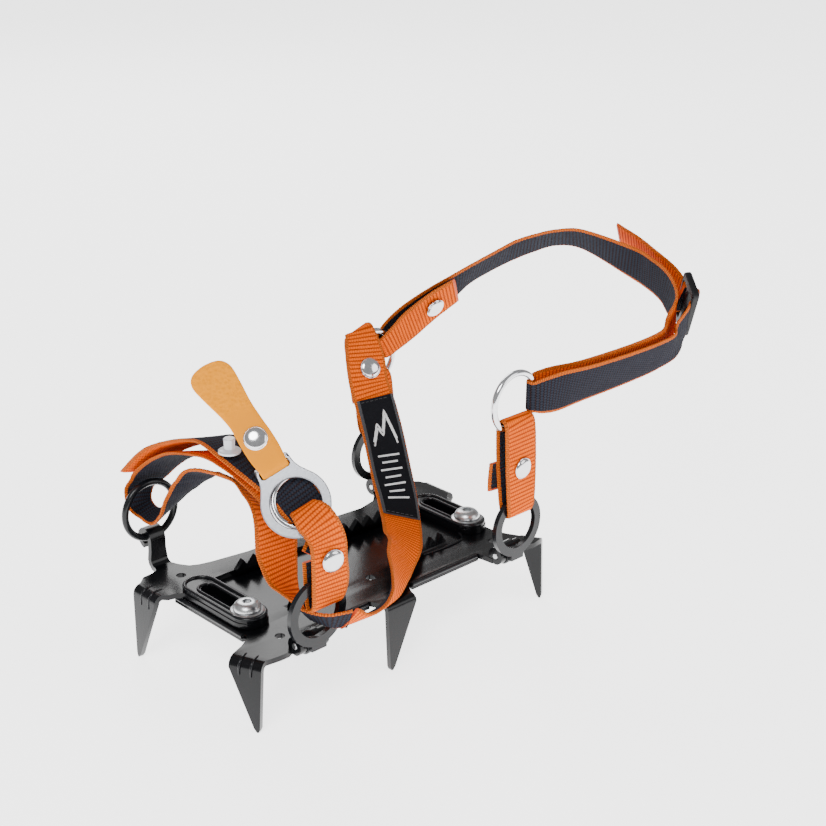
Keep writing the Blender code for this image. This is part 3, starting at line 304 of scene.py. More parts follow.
def weave(name, low, high, speck, speck_amount, bump=0.8, rib=RIB, yarn=YARN):
    """Ribbed webbing, with painted shade in the rib and yarn valleys and painted light on the crests. UV is arc length
    and width in centimetres.
    """
    m, nt, b = fresh(name)
    sep = node(nt, "ShaderNodeSeparateXYZ", None, {0: node(nt, "ShaderNodeUVMap", {"uv_map": "UVMap"}).outputs[0]})
    s = calc(nt, "MULTIPLY", sep.outputs[0], 10.0 / rib)
    x = calc(nt, "MULTIPLY", sep.outputs[1], 10.0 / yarn)
    row = calc(nt, "FLOOR", s)
    across = calc(nt, "ABSOLUTE", calc(nt, "SINE", calc(nt, "MULTIPLY", s, math.pi)))
    shift = calc(nt, "MULTIPLY", calc(nt, "MODULO", row, 2.0), 0.5)
    cell = calc(nt, "ABSOLUTE", calc(nt, "SINE", calc(nt, "MULTIPLY", calc(nt, "ADD", x, shift), math.pi)))
    n = noise(nt, 1500.0, 2.0)
    big = noise(nt, 120.0, 3.0)
    h = calc(nt, "ADD", calc(nt, "MULTIPLY", across, 0.5), calc(nt, "MULTIPLY", cell, 0.34))
    h = calc(nt, "ADD", h, calc(nt, "MULTIPLY", n, 0.22))
    # painted shade and light: h runs from the rib and yarn valleys (low colour) to their crests (high colour), so
    # valleys are painted darker and crests lighter; the fine noise in h adds random tone
    base = mix(nt, ramp(nt, h, 0.22, 0.85), low, high)
    base = mix(nt, calc(nt, "MULTIPLY", ramp(nt, big, 0.35, 0.75), 0.16), base, low)
    sp = calc(nt, "MULTIPLY", ramp(nt, calc(nt, "SUBTRACT", 1.0, across), 0.35, 0.75), ramp(nt, cell, 0.55, 0.9))
    sp = calc(nt, "MULTIPLY", sp, speck_amount)
    nt.links.new(mix(nt, sp, base, speck), b.inputs["Base Color"])
    nt.links.new(calc(nt, "MULTIPLY_ADD", h, -0.18, 0.86), b.inputs["Roughness"])
    b.inputs["Specular IOR Level"].default_value = 0.05
    b.inputs["Sheen Weight"].default_value = 0.0
    b.inputs["Sheen Roughness"].default_value = 0.5
    bp = node(nt, "ShaderNodeBump", None, {"Strength": bump, "Distance": 0.00028, "Height": h})
    nt.links.new(bp.outputs[0], b.inputs["Normal"])
    return m


STEEL = metal("painted_steel", (0.0012, 0.0013, 0.0018), (0.004, 0.0044, 0.0055), (0.13, 0.28), 0.0, 0.16, coat=0.1)
STEEL_EDGE = metal("rolled_edge", (0.003, 0.0033, 0.004), (0.009, 0.0098, 0.012), (0.18, 0.32), 0.0, 0.08, coat=0.2)
ZINC = metal("zinc", (0.42, 0.43, 0.44), (0.68, 0.69, 0.70), (0.22, 0.4), 1.0, 0.2)
CHROME = metal("chrome", (0.62, 0.63, 0.65), (0.82, 0.82, 0.84), (0.07, 0.18), 1.0, 0.05)
PLATED = metal("plated", (0.22, 0.23, 0.25), (0.34, 0.35, 0.38), (0.26, 0.40), 0.9, 0.15)
PLASTIC = metal("black_plastic", (0.004, 0.004, 0.005), (0.010, 0.010, 0.012), (0.33, 0.5), 0.0, 0.25, 1400.0)
GREY = metal("grey_stud", (0.50, 0.52, 0.56), (0.62, 0.64, 0.68), (0.25, 0.4), 0.25, 0.06)
PRINT = metal("pale_thread", (0.55, 0.56, 0.57), (0.74, 0.75, 0.76), (0.6, 0.8), 0.0, 0.5, 2500.0)
THREAD = metal("dark_thread", (0.03, 0.03, 0.034), (0.075, 0.075, 0.08), (0.6, 0.8), 0.0, 0.5, 2500.0)
# weave colours: first the painted shade for the rib valleys, then the painted light for the crests, then speck colour
# and speck amount
ORANGE = weave("orange_webbing", (0.26, 0.022, 0.0), (0.88, 0.135, 0.0), (0.20, 0.02, 0.0), 0.6, 1.0)
DARK = weave("dark_webbing", (0.0004, 0.0004, 0.0008), (0.021, 0.025, 0.037), (0.20, 0.065, 0.03), 0.14, 1.0)
SELVAGE = weave("orange_selvage", (0.22, 0.035, 0.004), (0.60, 0.125, 0.012), (0.03, 0.015, 0.015), 0.55, rib=0.9)
CUT = metal("melted_end", (0.42, 0.045, 0.012), (0.66, 0.10, 0.025), (0.35, 0.6), 0.0, 0.6, 1600.0)
PATCH = weave("patch_cloth", (0.002, 0.002, 0.003), (0.009, 0.0095, 0.012), (0.03, 0.03, 0.035), 0.3, 0.5, 0.55, 0.55)


def tab_material():
    m, nt, b = fresh("yellow_tab")
    sep = node(nt, "ShaderNodeSeparateXYZ", None, {0: node(nt, "ShaderNodeUVMap", {"uv_map": "UVMap"}).outputs[0]})
    u = calc(nt, "MULTIPLY", sep.outputs[0], 10.0)
    co = node(nt, "ShaderNodeTexCoord").outputs["Object"]
    v = node(nt, "ShaderNodeTexVoronoi", None, {"Vector": co, "Scale": 620.0})
    grain = calc(nt, "MULTIPLY", ramp(nt, v.outputs["Distance"], 0.1, 0.75), ramp(nt, u, 52.0, 58.0))
    soft = noise(nt, 240.0, 3.0, co)
    h = calc(nt, "MULTIPLY_ADD", soft, 0.12, grain)
    nt.links.new(mix(nt, calc(nt, "MULTIPLY", grain, 0.55), (0.78, 0.265, 0.0), (0.90, 0.32, 0.0)), b.inputs["Base Color"])
    nt.links.new(calc(nt, "MULTIPLY_ADD", grain, 0.15, 0.30), b.inputs["Roughness"])
    b.inputs["Specular IOR Level"].default_value = 0.03
    bp = node(nt, "ShaderNodeBump", None, {"Strength": 0.8, "Distance": 0.0003, "Height": h})
    nt.links.new(bp.outputs[0], b.inputs["Normal"])
    return m


YELLOW = tab_material()


# ------------------------------------------------------------------ objects
def put(name, bm, mats, body=None, takes=(), sharp=40.0, bevel=0.0, seg=3):
    """Make a bmesh in millimetres into an object that rides a body."""
    me = bpy.data.meshes.new(name)
    bmesh.ops.scale(bm, vec=(MM, MM, MM), verts=bm.verts)
    bm.to_mesh(me)
    bm.free()
    return dress(name, me, mats, body, takes, sharp, bevel, seg)


def dress(name, me, mats, body, takes, sharp, bevel, seg):
    for m in mats if isinstance(mats, (list, tuple)) else [mats]:
        me.materials.append(m)
    for p in me.polygons:
        p.use_smooth = True
    me.set_sharp_from_angle(angle=math.radians(sharp))
    ob = bpy.data.objects.new(name, me)
    bpy.context.scene.collection.objects.link(ob)
    if bevel:
        b = ob.modifiers.new("Rounded edges", "BEVEL")
        b.width = bevel * MM
        b.segments = seg
        b.limit_method = "ANGLE"
        b.angle_limit = math.radians(40)
        b.harden_normals = True
        b.use_clamp_overlap = True
    if body:
        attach(ob, body)
    if takes:
        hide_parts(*takes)
    return ob


def eased(name, body, mat, width, seg=2):
    """The part's own steel shape with its edges rounded."""
    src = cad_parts[name]
    bm = bmesh.new()
    bm.from_mesh(src.data)
    bmesh.ops.transform(bm, matrix=src.matrix_world, verts=bm.verts)
    bmesh.ops.remove_doubles(bm, verts=bm.verts, dist=2e-6)
    bmesh.ops.dissolve_limit(bm, angle_limit=math.radians(1.0), verts=bm.verts, edges=bm.edges)
    bmesh.ops.recalc_face_normals(bm, faces=bm.faces)
    me = bpy.data.meshes.new(name + "_look")
    bm.to_mesh(me)
    bm.free()
    return dress(name + "_look", me, mat, body, (name,), 42.0, width, seg)


def turned(profile, n=64):
    """Solid of revolution about Z from (radius, height) pairs."""
    bm = bmesh.new()
    vs = [bm.verts.new((r, 0, z)) for r, z in profile]
    es = [bm.edges.new((a, b)) for a, b in zip(vs, vs[1:])]
    bmesh.ops.spin(bm, geom=vs + es, cent=(0, 0, 0), axis=(0, 0, 1), angle=2 * math.pi, steps=n, use_merge=True)
    bmesh.ops.remove_doubles(bm, verts=bm.verts, dist=0.0005)
    bmesh.ops.recalc_face_normals(bm, faces=bm.faces)
    return bm


def place(bm, centre, normal, x_axis=None):
    z = Vector(normal).normalized()
    x = Vector(x_axis) if x_axis else z.orthogonal()
    x = (x - z * x.dot(z)).normalized()
    m = Matrix((x, z.cross(x), z)).transposed().to_4x4()
    m.translation = Vector(centre)
    bmesh.ops.transform(bm, verts=bm.verts, matrix=m)
    return bm


def merge(*bms):
    out = bmesh.new()
    for b in bms:
        me = bpy.data.meshes.new("tmp")
        b.to_mesh(me)
        b.free()
        out.from_mesh(me)
        bpy.data.meshes.remove(me)
    return out


def rod(path, radius, n=14, closed=False):
    """Round bar along a path. radius is a number or one for each point."""
    P = [Vector(p) for p in path]
    r = radius if isinstance(radius, (list, tuple)) else [radius] * len(P)
    bm = bmesh.new()
    rows, ref = [], None
    for i, p in enumerate(P):
        a = P[i - 1] if (i or closed) else P[i]
        b = P[(i + 1) % len(P)] if (i < len(P) - 1 or closed) else P[i]
        t = (b - a).normalized()
        ref = t.orthogonal() if ref is None else ref
        ref = (ref - t * ref.dot(t)).normalized()
        q = t.cross(ref)
        rows.append([bm.verts.new(p + (ref * math.cos(2 * math.pi * k / n) + q * math.sin(2 * math.pi * k / n)) * r[i])
                     for k in range(n)])
    pairs = list(zip(rows, rows[1:])) + ([(rows[-1], rows[0])] if closed else [])
    for a, b in pairs:
        for k in range(n):
            bm.faces.new((a[k], b[k], b[(k + 1) % n], a[(k + 1) % n]))
    if not closed:
        bm.faces.new(rows[0])
        bm.faces.new(rows[-1][::-1])
    bmesh.ops.recalc_face_normals(bm, faces=bm.faces)
    return bm


def hoop(centre, normal, major, minor, n=96):
    z = Vector(normal).normalized()
    x = z.orthogonal().normalized()
    y = z.cross(x)
    return rod([Vector(centre) + (x * math.cos(2 * math.pi * i / n) + y * math.sin(2 * math.pi * i / n)) * major
                for i in range(n)], minor, 20, True)


# ------------------------------------------------------------------ webbing
class Track:
    """A strap's centre line with its width direction, measured along its length."""

    def __init__(self, stations, step=0.42):
        mids = spline([s[0] for s in stations], 40)
        wids = spline([Vector(s[1]).normalized() * s[2] for s in stations], 40)
        run = [0.0]
        for a, b in zip(mids, mids[1:]):
            run.append(run[-1] + (b - a).length)
        self.length = run[-1]
        self.marks = [run[min(i * 40, len(run) - 1)] for i in range(len(stations))]
        n = max(8, int(self.length / step))
        self.s, self.c, self.w, self.n = [], [], [], []
        j = 0
        for i in range(n + 1):
            s = self.length * i / n
            while j < len(run) - 2 and run[j + 1] < s:
                j += 1
            f = (s - run[j]) / max(1e-9, run[j + 1] - run[j])
            self.s.append(s)
            self.c.append(mids[j].lerp(mids[j + 1], f))
            self.w.append(wids[j].lerp(wids[j + 1], f))
        for i in range(n + 1):
            t = (self.c[min(i + 2, n)] - self.c[max(i - 2, 0)]).normalized()
            wl = self.w[i].length
            w = (self.w[i] - t * self.w[i].dot(t)).normalized()
            self.n.append(t.cross(w).normalized())
            self.w[i] = w * wl

    def at(self, s, x, h):
        i = min(range(len(self.s)), key=lambda k: abs(self.s[k] - s))
        return self.c[i] + self.w[i].normalized() * x + self.n[i] * h


COLS = 14


def webbing(name, stations, sides, thick=1.5, cut_start=False, cut_end=False, rib=0.10, edge=None, palette=None):
    """Woven strap: sides lists (from station, top colour, underside colour)."""
    tr = Track(stations)
    palette = palette or [ORANGE, DARK, SELVAGE, CUT]
    verts, faces, mats, uvs = [], [], [], []
    ring = 2 * (COLS + 1)
    for i, s in enumerate(tr.s):
        half = tr.w[i].length / 2
        wd = tr.w[i].normalized()
        lift = math.cos(2 * math.pi * s / RIB)
        sway = 0.12 * math.sin(s * 0.9) * math.sin(s * 0.23)
        for side in (1, -1):
            cols = range(COLS + 1) if side > 0 else range(COLS, -1, -1)
            for j in cols:
                q = 2.0 * j / COLS - 1.0
                end = abs(q) > 0.999
                x = q * (half + 0.06 * math.sin(s * 4.1 + j))
                h = thick * (0.20 if end else 0.5)
                if not end:
                    h += rib * lift * (1 if j % 2 else 0.35)
                else:
                    h += 0.04 * lift
                verts.append((tr.c[i] + wd * x + tr.n[i] * (side * h + sway * 0.3)) * MM)
                uvs.append((s / 10.0, (x + 12.0) / 10.0))
    rows = len(tr.s)
    for i in range(rows - 1):
        top, low = sides[0][1], sides[0][2]
        for k, a, b in sides:
            if tr.s[i] >= tr.marks[k]:
                top, low = a, b
        for k in range(ring):
            a, b = i * ring + k, i * ring + (k + 1) % ring
            faces.append((a, b, b + ring, a + ring))
            if (cut_start and tr.s[i] < 1.1) or (cut_end and tr.length - tr.s[i] < 1.1):
                m = 3
            elif k in (COLS, ring - 1) or k in (0, COLS - 1, COLS + 1, ring - 2):
                m = edge if edge is not None else 2
            elif k < COLS:
                m = "OD".index(top)
            else:
                m = "OD".index(low)
            mats.append(m)
    faces.append(tuple(range(ring - 1, -1, -1)))
    faces.append(tuple((rows - 1) * ring + k for k in range(ring)))
    mats += [3, 3]
    me = bpy.data.meshes.new(name)
    me.from_pydata(verts, [], faces)
    uv = me.uv_layers.new(name="UVMap")
    for lp in me.loops:
        uv.data[lp.index].uv = uvs[lp.vertex_index]
    for m in palette:
        me.materials.append(m)
    for p, m in zip(me.polygons, mats):
        p.material_index = m
        p.use_smooth = True
    me.validate()
    bm = bmesh.new()
    bm.from_mesh(me)
    bmesh.ops.recalc_face_normals(bm, faces=bm.faces)
    bm.to_mesh(me)
    bm.free()
    me.set_sharp_from_angle(angle=math.radians(60))
    ob = bpy.data.objects.new(name, me)
    bpy.context.scene.collection.objects.link(ob)
    return ob, tr


S = straps
made = {}


def ride_web(name, stations, sides, body, takes, slot, **kw):
    ob, tr = webbing(name, stations, sides, **kw)
    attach(ob, body)
    if takes:
        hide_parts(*takes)
    made[name] = tr
    return ob


def blend_web(name, stations, sides, a, b, start, end, takes, slot, **kw):
    ob, tr = webbing(name, stations, sides, **kw)
    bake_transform(ob)
    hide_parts(*takes)
    made[name] = tr
    return ob


label = S["label_strap_far"][:-1] + S["label_strap_near"][1:] + S["instep_strap_near"][:1]
blend_web("crossing_webbing", label, [(0, "O", "O"), (6, "O", "D")], "far_half", "near_half", (34, 0, 11), (10, -30, 8),
          ("label_strap_far", "label_strap_near"), "orange_web", cut_start=True)
near_over = S["instep_strap_near"][:-1] + S["instep_strap_far"][1:-1] + S["instep_strap_over"][1:]
blend_web("instep_webbing", near_over, [(0, "D", "O"), (12, "D", "D"), (18, "O", "D")], "near_half", "far_half",
          (-63, 0, 60), (-65, 48, 45), ("instep_strap_near", "instep_strap_far", "instep_strap_over"), "orange_web")
tail = S["instep_strap_tail"]
# the free tail starts inside the buckle's hole and leaves behind its neck
ride_web("tail_webbing", [(on_buckle(3.0, -9.0, -3.4), B_W, 18), (on_buckle(2.2, 0.0, -3.2), B_W, 19),
                          (on_buckle(1.0, 9.0, -3.6), B_W, 19)] + tail,
         [(0, "O", "D")], "near_half", ("instep_strap_tail",), "dark_web", cut_end=True)
front_loop = [(Vector(c) - Vector(w).normalized() * 1.1, w, min(k, 16)) for c, w, k in S["front_near_loop"][:10]] + [
    ((-56.9, -54.8, 38), (.96, -.15, .05), 17), ((-56.4, -54.6, 27), (.98, -.08, 0), 18.5),
    ((-56.8, -53.4, 18.6), (1, 0, 0), 17.5), ((-57.0, -51.2, 16.6), (1, 0, 0), 17),
    ((-56.8, -49.2, 18.6), (1, 0, 0), 17), ((-56.5, -48.6, 27), (.98, -.08, 0), 17),
    ((-56.5, -48.5, 37.0), (.97, -.15, .05), 17)]
ride_web("front_near_webbing", front_loop, [(0, "O", "D")], "near_half", ("front_near_loop",), "orange_web")
rear_loop = [
    ((58.5, -47.4, 44.5), (1, 0, 0), 19), ((58, -47.2, 62), (1, 0, 0), 19), ((57.5, -48.0, 67.2), (1, 0, 0), 18),
    ((57.5, -50, 68.3), (1, 0, 0), 18), ((57.5, -52.0, 67.2), (1, 0, 0), 18.5),
    ((58, -53.0, 62), (1, 0, 0), 19.5), ((58.5, -53.6, 44), (1, 0, 0), 19.5), ((59, -53.8, 28), (1, 0, 0), 18),
    ((59.5, -53.2, 22.4), (1, 0, 0), 16.5), ((59.5, -51.2, 20.9), (1, 0, 0), 16), ((59.5, -49.2, 22.4), (1, 0, 0), 16),
    ((59, -48.6, 28), (1, 0, 0), 18), ((58.5, -47.5, 44.4), (1, 0, 0), 19)]
ride_web("rear_near_webbing", rear_loop, [(0, "O", "D")], "near_half", ("rear_near_loop",), "orange_web")
# inner end of the loop, caught under the rivet and showing past one side
ride_web("rear_near_flap", [((54.5, -46.3, 47), (.95, 0, .1), 18), ((54.0, -46.2, 40), (.95, 0, .1), 18),
                            ((53.6, -46.6, 34), (.95, 0, .1), 18)], [(0, "D", "D")], "near_half", (), "orange_web", cut_end=True)
# loose end of the crossing strap behind its rivet
ride_web("label_end_flap", [((58.5, 55.2, 77), (.95, -.1, .2), 16), ((60.0, 53.6, 66), (.93, -.2, .2), 19),
                            ((60.5, 50.5, 55), (.92, -.3, .2), 20), ((59.5, 47.5, 47.5), (.92, -.3, .2), 20)],
         [(0, "O", "O")], "far_half", (), "orange_web", cut_end=True)
ride_web("rear_far_webbing", S["rear_far_loop"], [(0, "D", "O")], "far_half", ("rear_far_loop",), "orange_web")
wide = {9.5: 14.5, 13: 17.5, 12: 17, 17: 20}
# one strap: round the heel, through the near ankle ring and back to the slider
heel = (S["heel_strap_far"][:-1] + S["heel_strap_back"][1:] + [((174.9, -46.6, 90.4), (.52, .36, -.78), 20)]
        + [(c, w, wide.get(k, k)) for c, w, k in S["heel_strap_near"][::-1]]
        + [((178.6, -51.4, 87.2), (.50, .36, -.78), 20), ((182.2, -49.3, 91.0), (.33, .40, -.85), 19.5)])
blend_web("heel_webbing", heel, [(0, "O", "D")], "far_half", "near_half", (175, 25, 105), (182, -25, 100),
          ("heel_strap_far", "heel_strap_back", "heel_strap_near"), "dark_web", cut_start=True)
# the tail comes out of the slider
ride_web("heel_tail_webbing", [((185.2, -43.4, 95.6), (.30, .41, -.86), 19.5)] + S["heel_strap_tail"], [(0, "O", "D")], "near_half", ("heel_strap_tail",), "orange_web", cut_end=True)

# -------------------------------------------------------------- label patch
patch_path = [((49.5, 34.3, 55.7), (.93, -.36, .13), 18.4), ((49.0, 31.8, 50.8), (.91, -.39, .14), 18.4),
              ((47.5, 25.4, 38.9), (.88, -.47, .09), 18.4), ((42.2, 14.1, 24.8), (.88, -.47, .04), 18.4),
              ((38.7, 6.6, 17.3), (.89, -.45, -.08), 18.4), ((34.1, -0.6, 12.6), (.83, -.49, -.24), 18.4),
              ((31.9, -3.6, 11.5), (.80, -.52, -.29), 18.4)]
ride_web("patch_cloth_piece", patch_path, [(0, "O", "O")], "far_half", ("label_patch",), "patch",
         thick=0.8, rib=0.02, edge=2, palette=[PATCH, PATCH, THREAD, THREAD])
pt = made["patch_cloth_piece"]
bits = []
L = pt.length


def stitch(s0, x0, s1, x1, h=0.5, r=0.17):
    k = 5
    pts = []
    for i in range(k + 1):
        f = i / k
        pts.append(pt.at(s0 + (s1 - s0) * f, x0 + (x1 - x0) * f, h + 0.10 * math.sin(math.pi * f) - 0.08))
    bits.append(rod(pts, r, 8))


s = 1.6
while s < L - 2.6:
    for x in (-8.0, 8.0):
        stitch(s, x, s + 1.5, x)
    s += 2.3
x = -7.4
while x < 6.2:
    for s in (1.4, L - 1.4):
        stitch(s, x, s, x + 1.5)
    x += 2.3
put("patch_stitching", merge(*bits), THREAD, "far_half")
# a plain motif of peaks and bars in pale thread
bits = []


def thread_line(pts, r=0.34):
    path = []
    for (s0, x0), (s1, x1) in zip(pts, pts[1:]):
        k = max(2, int(math.hypot(s1 - s0, x1 - x0) / 0.5))
        path += [pt.at(s0 + (s1 - s0) * i / k, x0 + (x1 - x0) * i / k, 0.42) for i in range(k)]
    path.append(pt.at(pts[-1][0], pts[-1][1], 0.42))
    bits.append(rod(path, r, 10))


for d in (0.0, 2.2):
    thread_line([(L * .34 + d, -5.6), (L * .20 + d, -2.4), (L * .27 + d, -0.4), (L * .11 + d, 2.6), (L * .34 + d, 5.8)], 0.42)
for i, s in enumerate((L * .46, L * .52, L * .58, L * .64, L * .70, L * .76, L * .82)):
    half = (5.2, 3.8)[i % 2]
    thread_line([(s, -half), (s, half)], 0.5)
put("patch_motif", merge(*bits), PRINT, "far_half")


# ------------------------------------------------------------------- rivets
def rivet_head(name, centre, normal, body, takes, r=5.0, h=1.7):
    prof = [(0, h)] + [(r * math.sin(math.radians(a)) * 0.93, 0.35 + (h - 0.35) * math.cos(math.radians(a)))
                       for a in range(12, 90, 11)] + [(r * 0.96, 0.42), (r, 0.25), (r, 0.0), (r * 0.9, -0.35), (0, -0.35)]
    bm = place(turned(prof), centre, normal)
    return put(name + "_look", bm, CHROME, body, takes)


# ------------------------------------------------------------------- buckle
B_O = BK_O
B_N = Vector((-0.55, -0.62, 0.56)).normalized()
B_U = Vector((-0.08, 0.70, 0.70))
B_U = (B_U - B_N * B_U.dot(B_N)).normalized()
B_W = B_U.cross(B_N)


def on_buckle(w, u, n=0.0):
    return B_O + B_W * w + B_U * u + B_N * n


def buckle_place(bm):
    m = Matrix((B_W, B_U, B_N)).transposed().to_4x4()
    m.translation = B_O
    bmesh.ops.transform(bm, verts=bm.verts, matrix=m)
    bmesh.ops.recalc_face_normals(bm, faces=bm.faces)
    return bm


rivet_head("label_rivet", (52.2, 40.5, 68.4), (-.28, -.81, .48), "far_half", ("label_rivet",))
rivet_head("rear_near_rivet", (58.5, -54.8, 44.5), (0, -1, 0), "near_half", ("rear_near_rivet",))
rivet_head("rear_far_rivet", (65.5, 47.4, 45.0), (0, -1, 0), "far_half", ("rear_far_rivet",))
rivet_head("front_near_rivet", (-56.4, -56.4, 38.5), (-.15, -.99, .04), "near_half", ("front_near_rivet",))
rivet_head("heel_rivet", (99.6, 44.3, 87.5), (-.10, -.91, -.37), "far_half", ("heel_rivet",))
rivet_head("tab_rivet", on_buckle(0, 31.0, 3.6), B_N, "tab", ("tab_rivet",))

neck = (arc(0, 0, 14.5, 143, 397, 72) + [(9.4, 12.2), (8.3, 15.2)] + arc(6.6, 19.2, 1.4, 0, 90, 6)
        + arc(-6.6, 19.2, 1.4, 90, 180, 6) + [(-8.3, 15.2), (-9.4, 12.2)])
gap = (arc(5.6, 17.1, 1.0, 0, 90, 4) + arc(-5.6, 17.1, 1.0, 90, 180, 4) + arc(-5.6, 15.9, 1.0, 180, 270, 4)
       + arc(5.6, 15.9, 1.0, 270, 360, 4))
put("buckle_look", buckle_place(slab(neck, [circle(0, 0, 10.6, 64), gap], -1.0, 1.0)), PLATED, "near_half",
    ("buckle_plate",), 40, 0.45, 3)
put("instep_ring_look", hoop(on_buckle(2.0, 0.5, -3.2), B_N, 11.0, 1.6), CHROME, "instep_d", ("instep_ring",), 80)


def tab_shape():
    path = [(6.2, 38.0, 0.2), (6.3, 31.0, 0.6), (6.2, 26.5, -0.6), (6.1, 22.5, -2.6), (6.1, 19.5, -3.1), (6.1, 17.0, -2.8),
            (6.1, 15.7, -1.4), (6.1, 15.6, 0.6), (6.2, 16.6, 1.9), (6.3, 18.6, 2.4), (6.7, 21.5, 2.6), (7.0, 25.0, 2.75),
            (7.0, 31.0, 2.9), (6.7, 36.0, 3.0), (6.6, 41.0, 3.1), (7.0, 46.0, 3.25), (7.8, 51.0, 3.4), (8.6, 56.0, 3.5),
            (9.1, 60.0, 3.6), (9.1, 62.6, 3.6), (8.3, 65.0, 3.6), (6.6, 66.8, 3.6), (4.2, 67.8, 3.6), (1.2, 68.2, 3.6)]
    sm = spline([(u, n, h) for h, u, n in path], 8)
    bm = bmesh.new()
    uvl = bm.loops.layers.uv.new("UVMap")
    rows, run = [], [0.0]
    for i, p in enumerate(sm):
        a, b = sm[max(i - 1, 0)], sm[min(i + 1, len(sm) - 1)]
        t = Vector((b.x - a.x, b.y - a.y)).normalized()
        nrm = Vector((-t.y, t.x))
        if i:
            run.append(run[-1] + (Vector((p.x, p.y)) - Vector((sm[i - 1].x, sm[i - 1].y))).length)
        cx = -2.2 * max(0.0, (p.x - 40.0) / 28.0) if p.y > 2.0 else 0.0
        ring = []
        for k in range(28):
            a2 = 2 * math.pi * k / 28
            c, s2 = math.cos(a2), math.sin(a2)
            wx = math.copysign(abs(c) ** 0.35, c) * max(p.z, 0.6)
            hz = math.copysign(abs(s2) ** 0.55, s2) * 0.82
            ring.append(bm.verts.new((cx + wx, p.x + nrm.x * hz, p.y + nrm.y * hz)))
        rows.append(ring)
    for i, (a, b) in enumerate(zip(rows, rows[1:])):
        for k in range(28):
            f = bm.faces.new((a[k], b[k], b[(k + 1) % 28], a[(k + 1) % 28]))
            for lp, j, kk in zip(f.loops, (i, i + 1, i + 1, i), (k, k, k + 1, k + 1)):
                lp[uvl].uv = (run[j] / 10.0, kk / 28.0)
    bm.faces.new(rows[0])
    bm.faces.new(rows[-1][::-1])
    return buckle_place(bm)


put("tab_look", tab_shape(), YELLOW, "tab", ("pull_tab",), 50)

STUD = Vector((-70.5, -8.6, 75.2))
stud = turned([(0, 6.6), (2.1, 6.6), (2.5, 6.2), (2.3, 3.4), (2.5, 2.2), (3.4, 1.6), (4.4, 1.45), (4.8, 1.1), (4.8, 0.4),
               (4.4, 0.1), (0, 0.0)])
bmesh.ops.translate(stud, verts=stud.verts, vec=STUD)
put("stud_look", stud, GREY, "near_half", ("tail_stud",))

# ------------------------------------------------------------- chrome rings
NEAR_ANKLE, FAR_ANKLE = (57.0, -50.0, 75.6), (64.0, 52.0, 68.0)
put("near_ankle_look", hoop(NEAR_ANKLE, (0, 1, 0), 13.5, 1.5), CHROME, "near_ankle_d", ("near_ankle_ring",), 80)
put("far_ankle_look", hoop(FAR_ANKLE, (0, 1, 0), 13.5, 1.5), CHROME, "far_ankle_d", ("far_ankle_ring",), 80)
EYE_R = 2.6 + 2.5
wc = (-66.5, 53.0 + EYE_R, 11.9 + (30.0 - 3.2) / 2 - 0.2)
put("front_far_look", hoop(wc, (0, 1, 0), 13.4, 1.6), STEEL_EDGE, "front_far_d", ("front_far_ring",), 80)


# -------------------------------------------------------- plate rings, pins
def plate_ring(name, hx, hy, hz, side, body):
    cz = 15.6
    out = [(-4.0, -1.5), (-4.0, 1.2)] + arc(0, cz, 15.0, 254, -74, 96) + [(4.0, 1.2), (4.0, -1.5)]
    bm = slab(out, [circle(0, cz, 11.0, 96)], -1.2, 1.2)
    m = Matrix(((1, 0, 0), (0, 0, -1), (0, 1, 0))).to_4x4()
    bmesh.ops.transform(bm, verts=bm.verts, matrix=m)
    bmesh.ops.translate(bm, verts=bm.verts, vec=(hx, hy + side * 5.7, hz))
    bmesh.ops.recalc_face_normals(bm, faces=bm.faces)
    barrel = turned([(1.8, -4.1), (4.5, -4.1), (5.0, -3.6), (5.0, 3.6), (4.5, 4.1), (1.8, 4.1), (1.8, -4.1)], 48)
    place(barrel, (hx, hy, hz), (1, 0, 0))
    put(name + "_look", merge(bm, barrel), STEEL_EDGE, body, (name,), 40, 0.5, 3)
    pin = turned([(0, -8.0), (1.2, -8.0), (1.5, -7.6), (1.5, 7.6), (1.2, 8.0), (0, 8.0)], 32)
    put(name + "_pin_look", place(pin, (hx, hy, hz), (1, 0, 0)), ZINC, "far_half" if side > 0 else "near_half",
        (name + "_pin",))


plate_ring("front_near_ring", -61.0, -45.5, -1.0, -1, "front_near_d")
plate_ring("rear_near_ring", 59.5, -45.5, -1.0, -1, "rear_near_d")
plate_ring("rear_far_ring", 65.5, 46.0, 1.8, 1, "rear_far_d")

# ------------------------------------------------------------------- plates
eased("near_plate", "near_half", STEEL, 0.5, 3)
eased("far_plate", "far_half", STEEL, 0.5, 3)
for tag in ("front", "rear"):
    eased(tag + "_lock_nut", "near_half", ZINC, 0.4)


def stadium(cx, y0, y1, r, z, n=20):
    return [(x, y, z) for x, y in arc(cx, y1, r, 0, 180, n) + arc(cx, y0, r, 180, 360, n)]


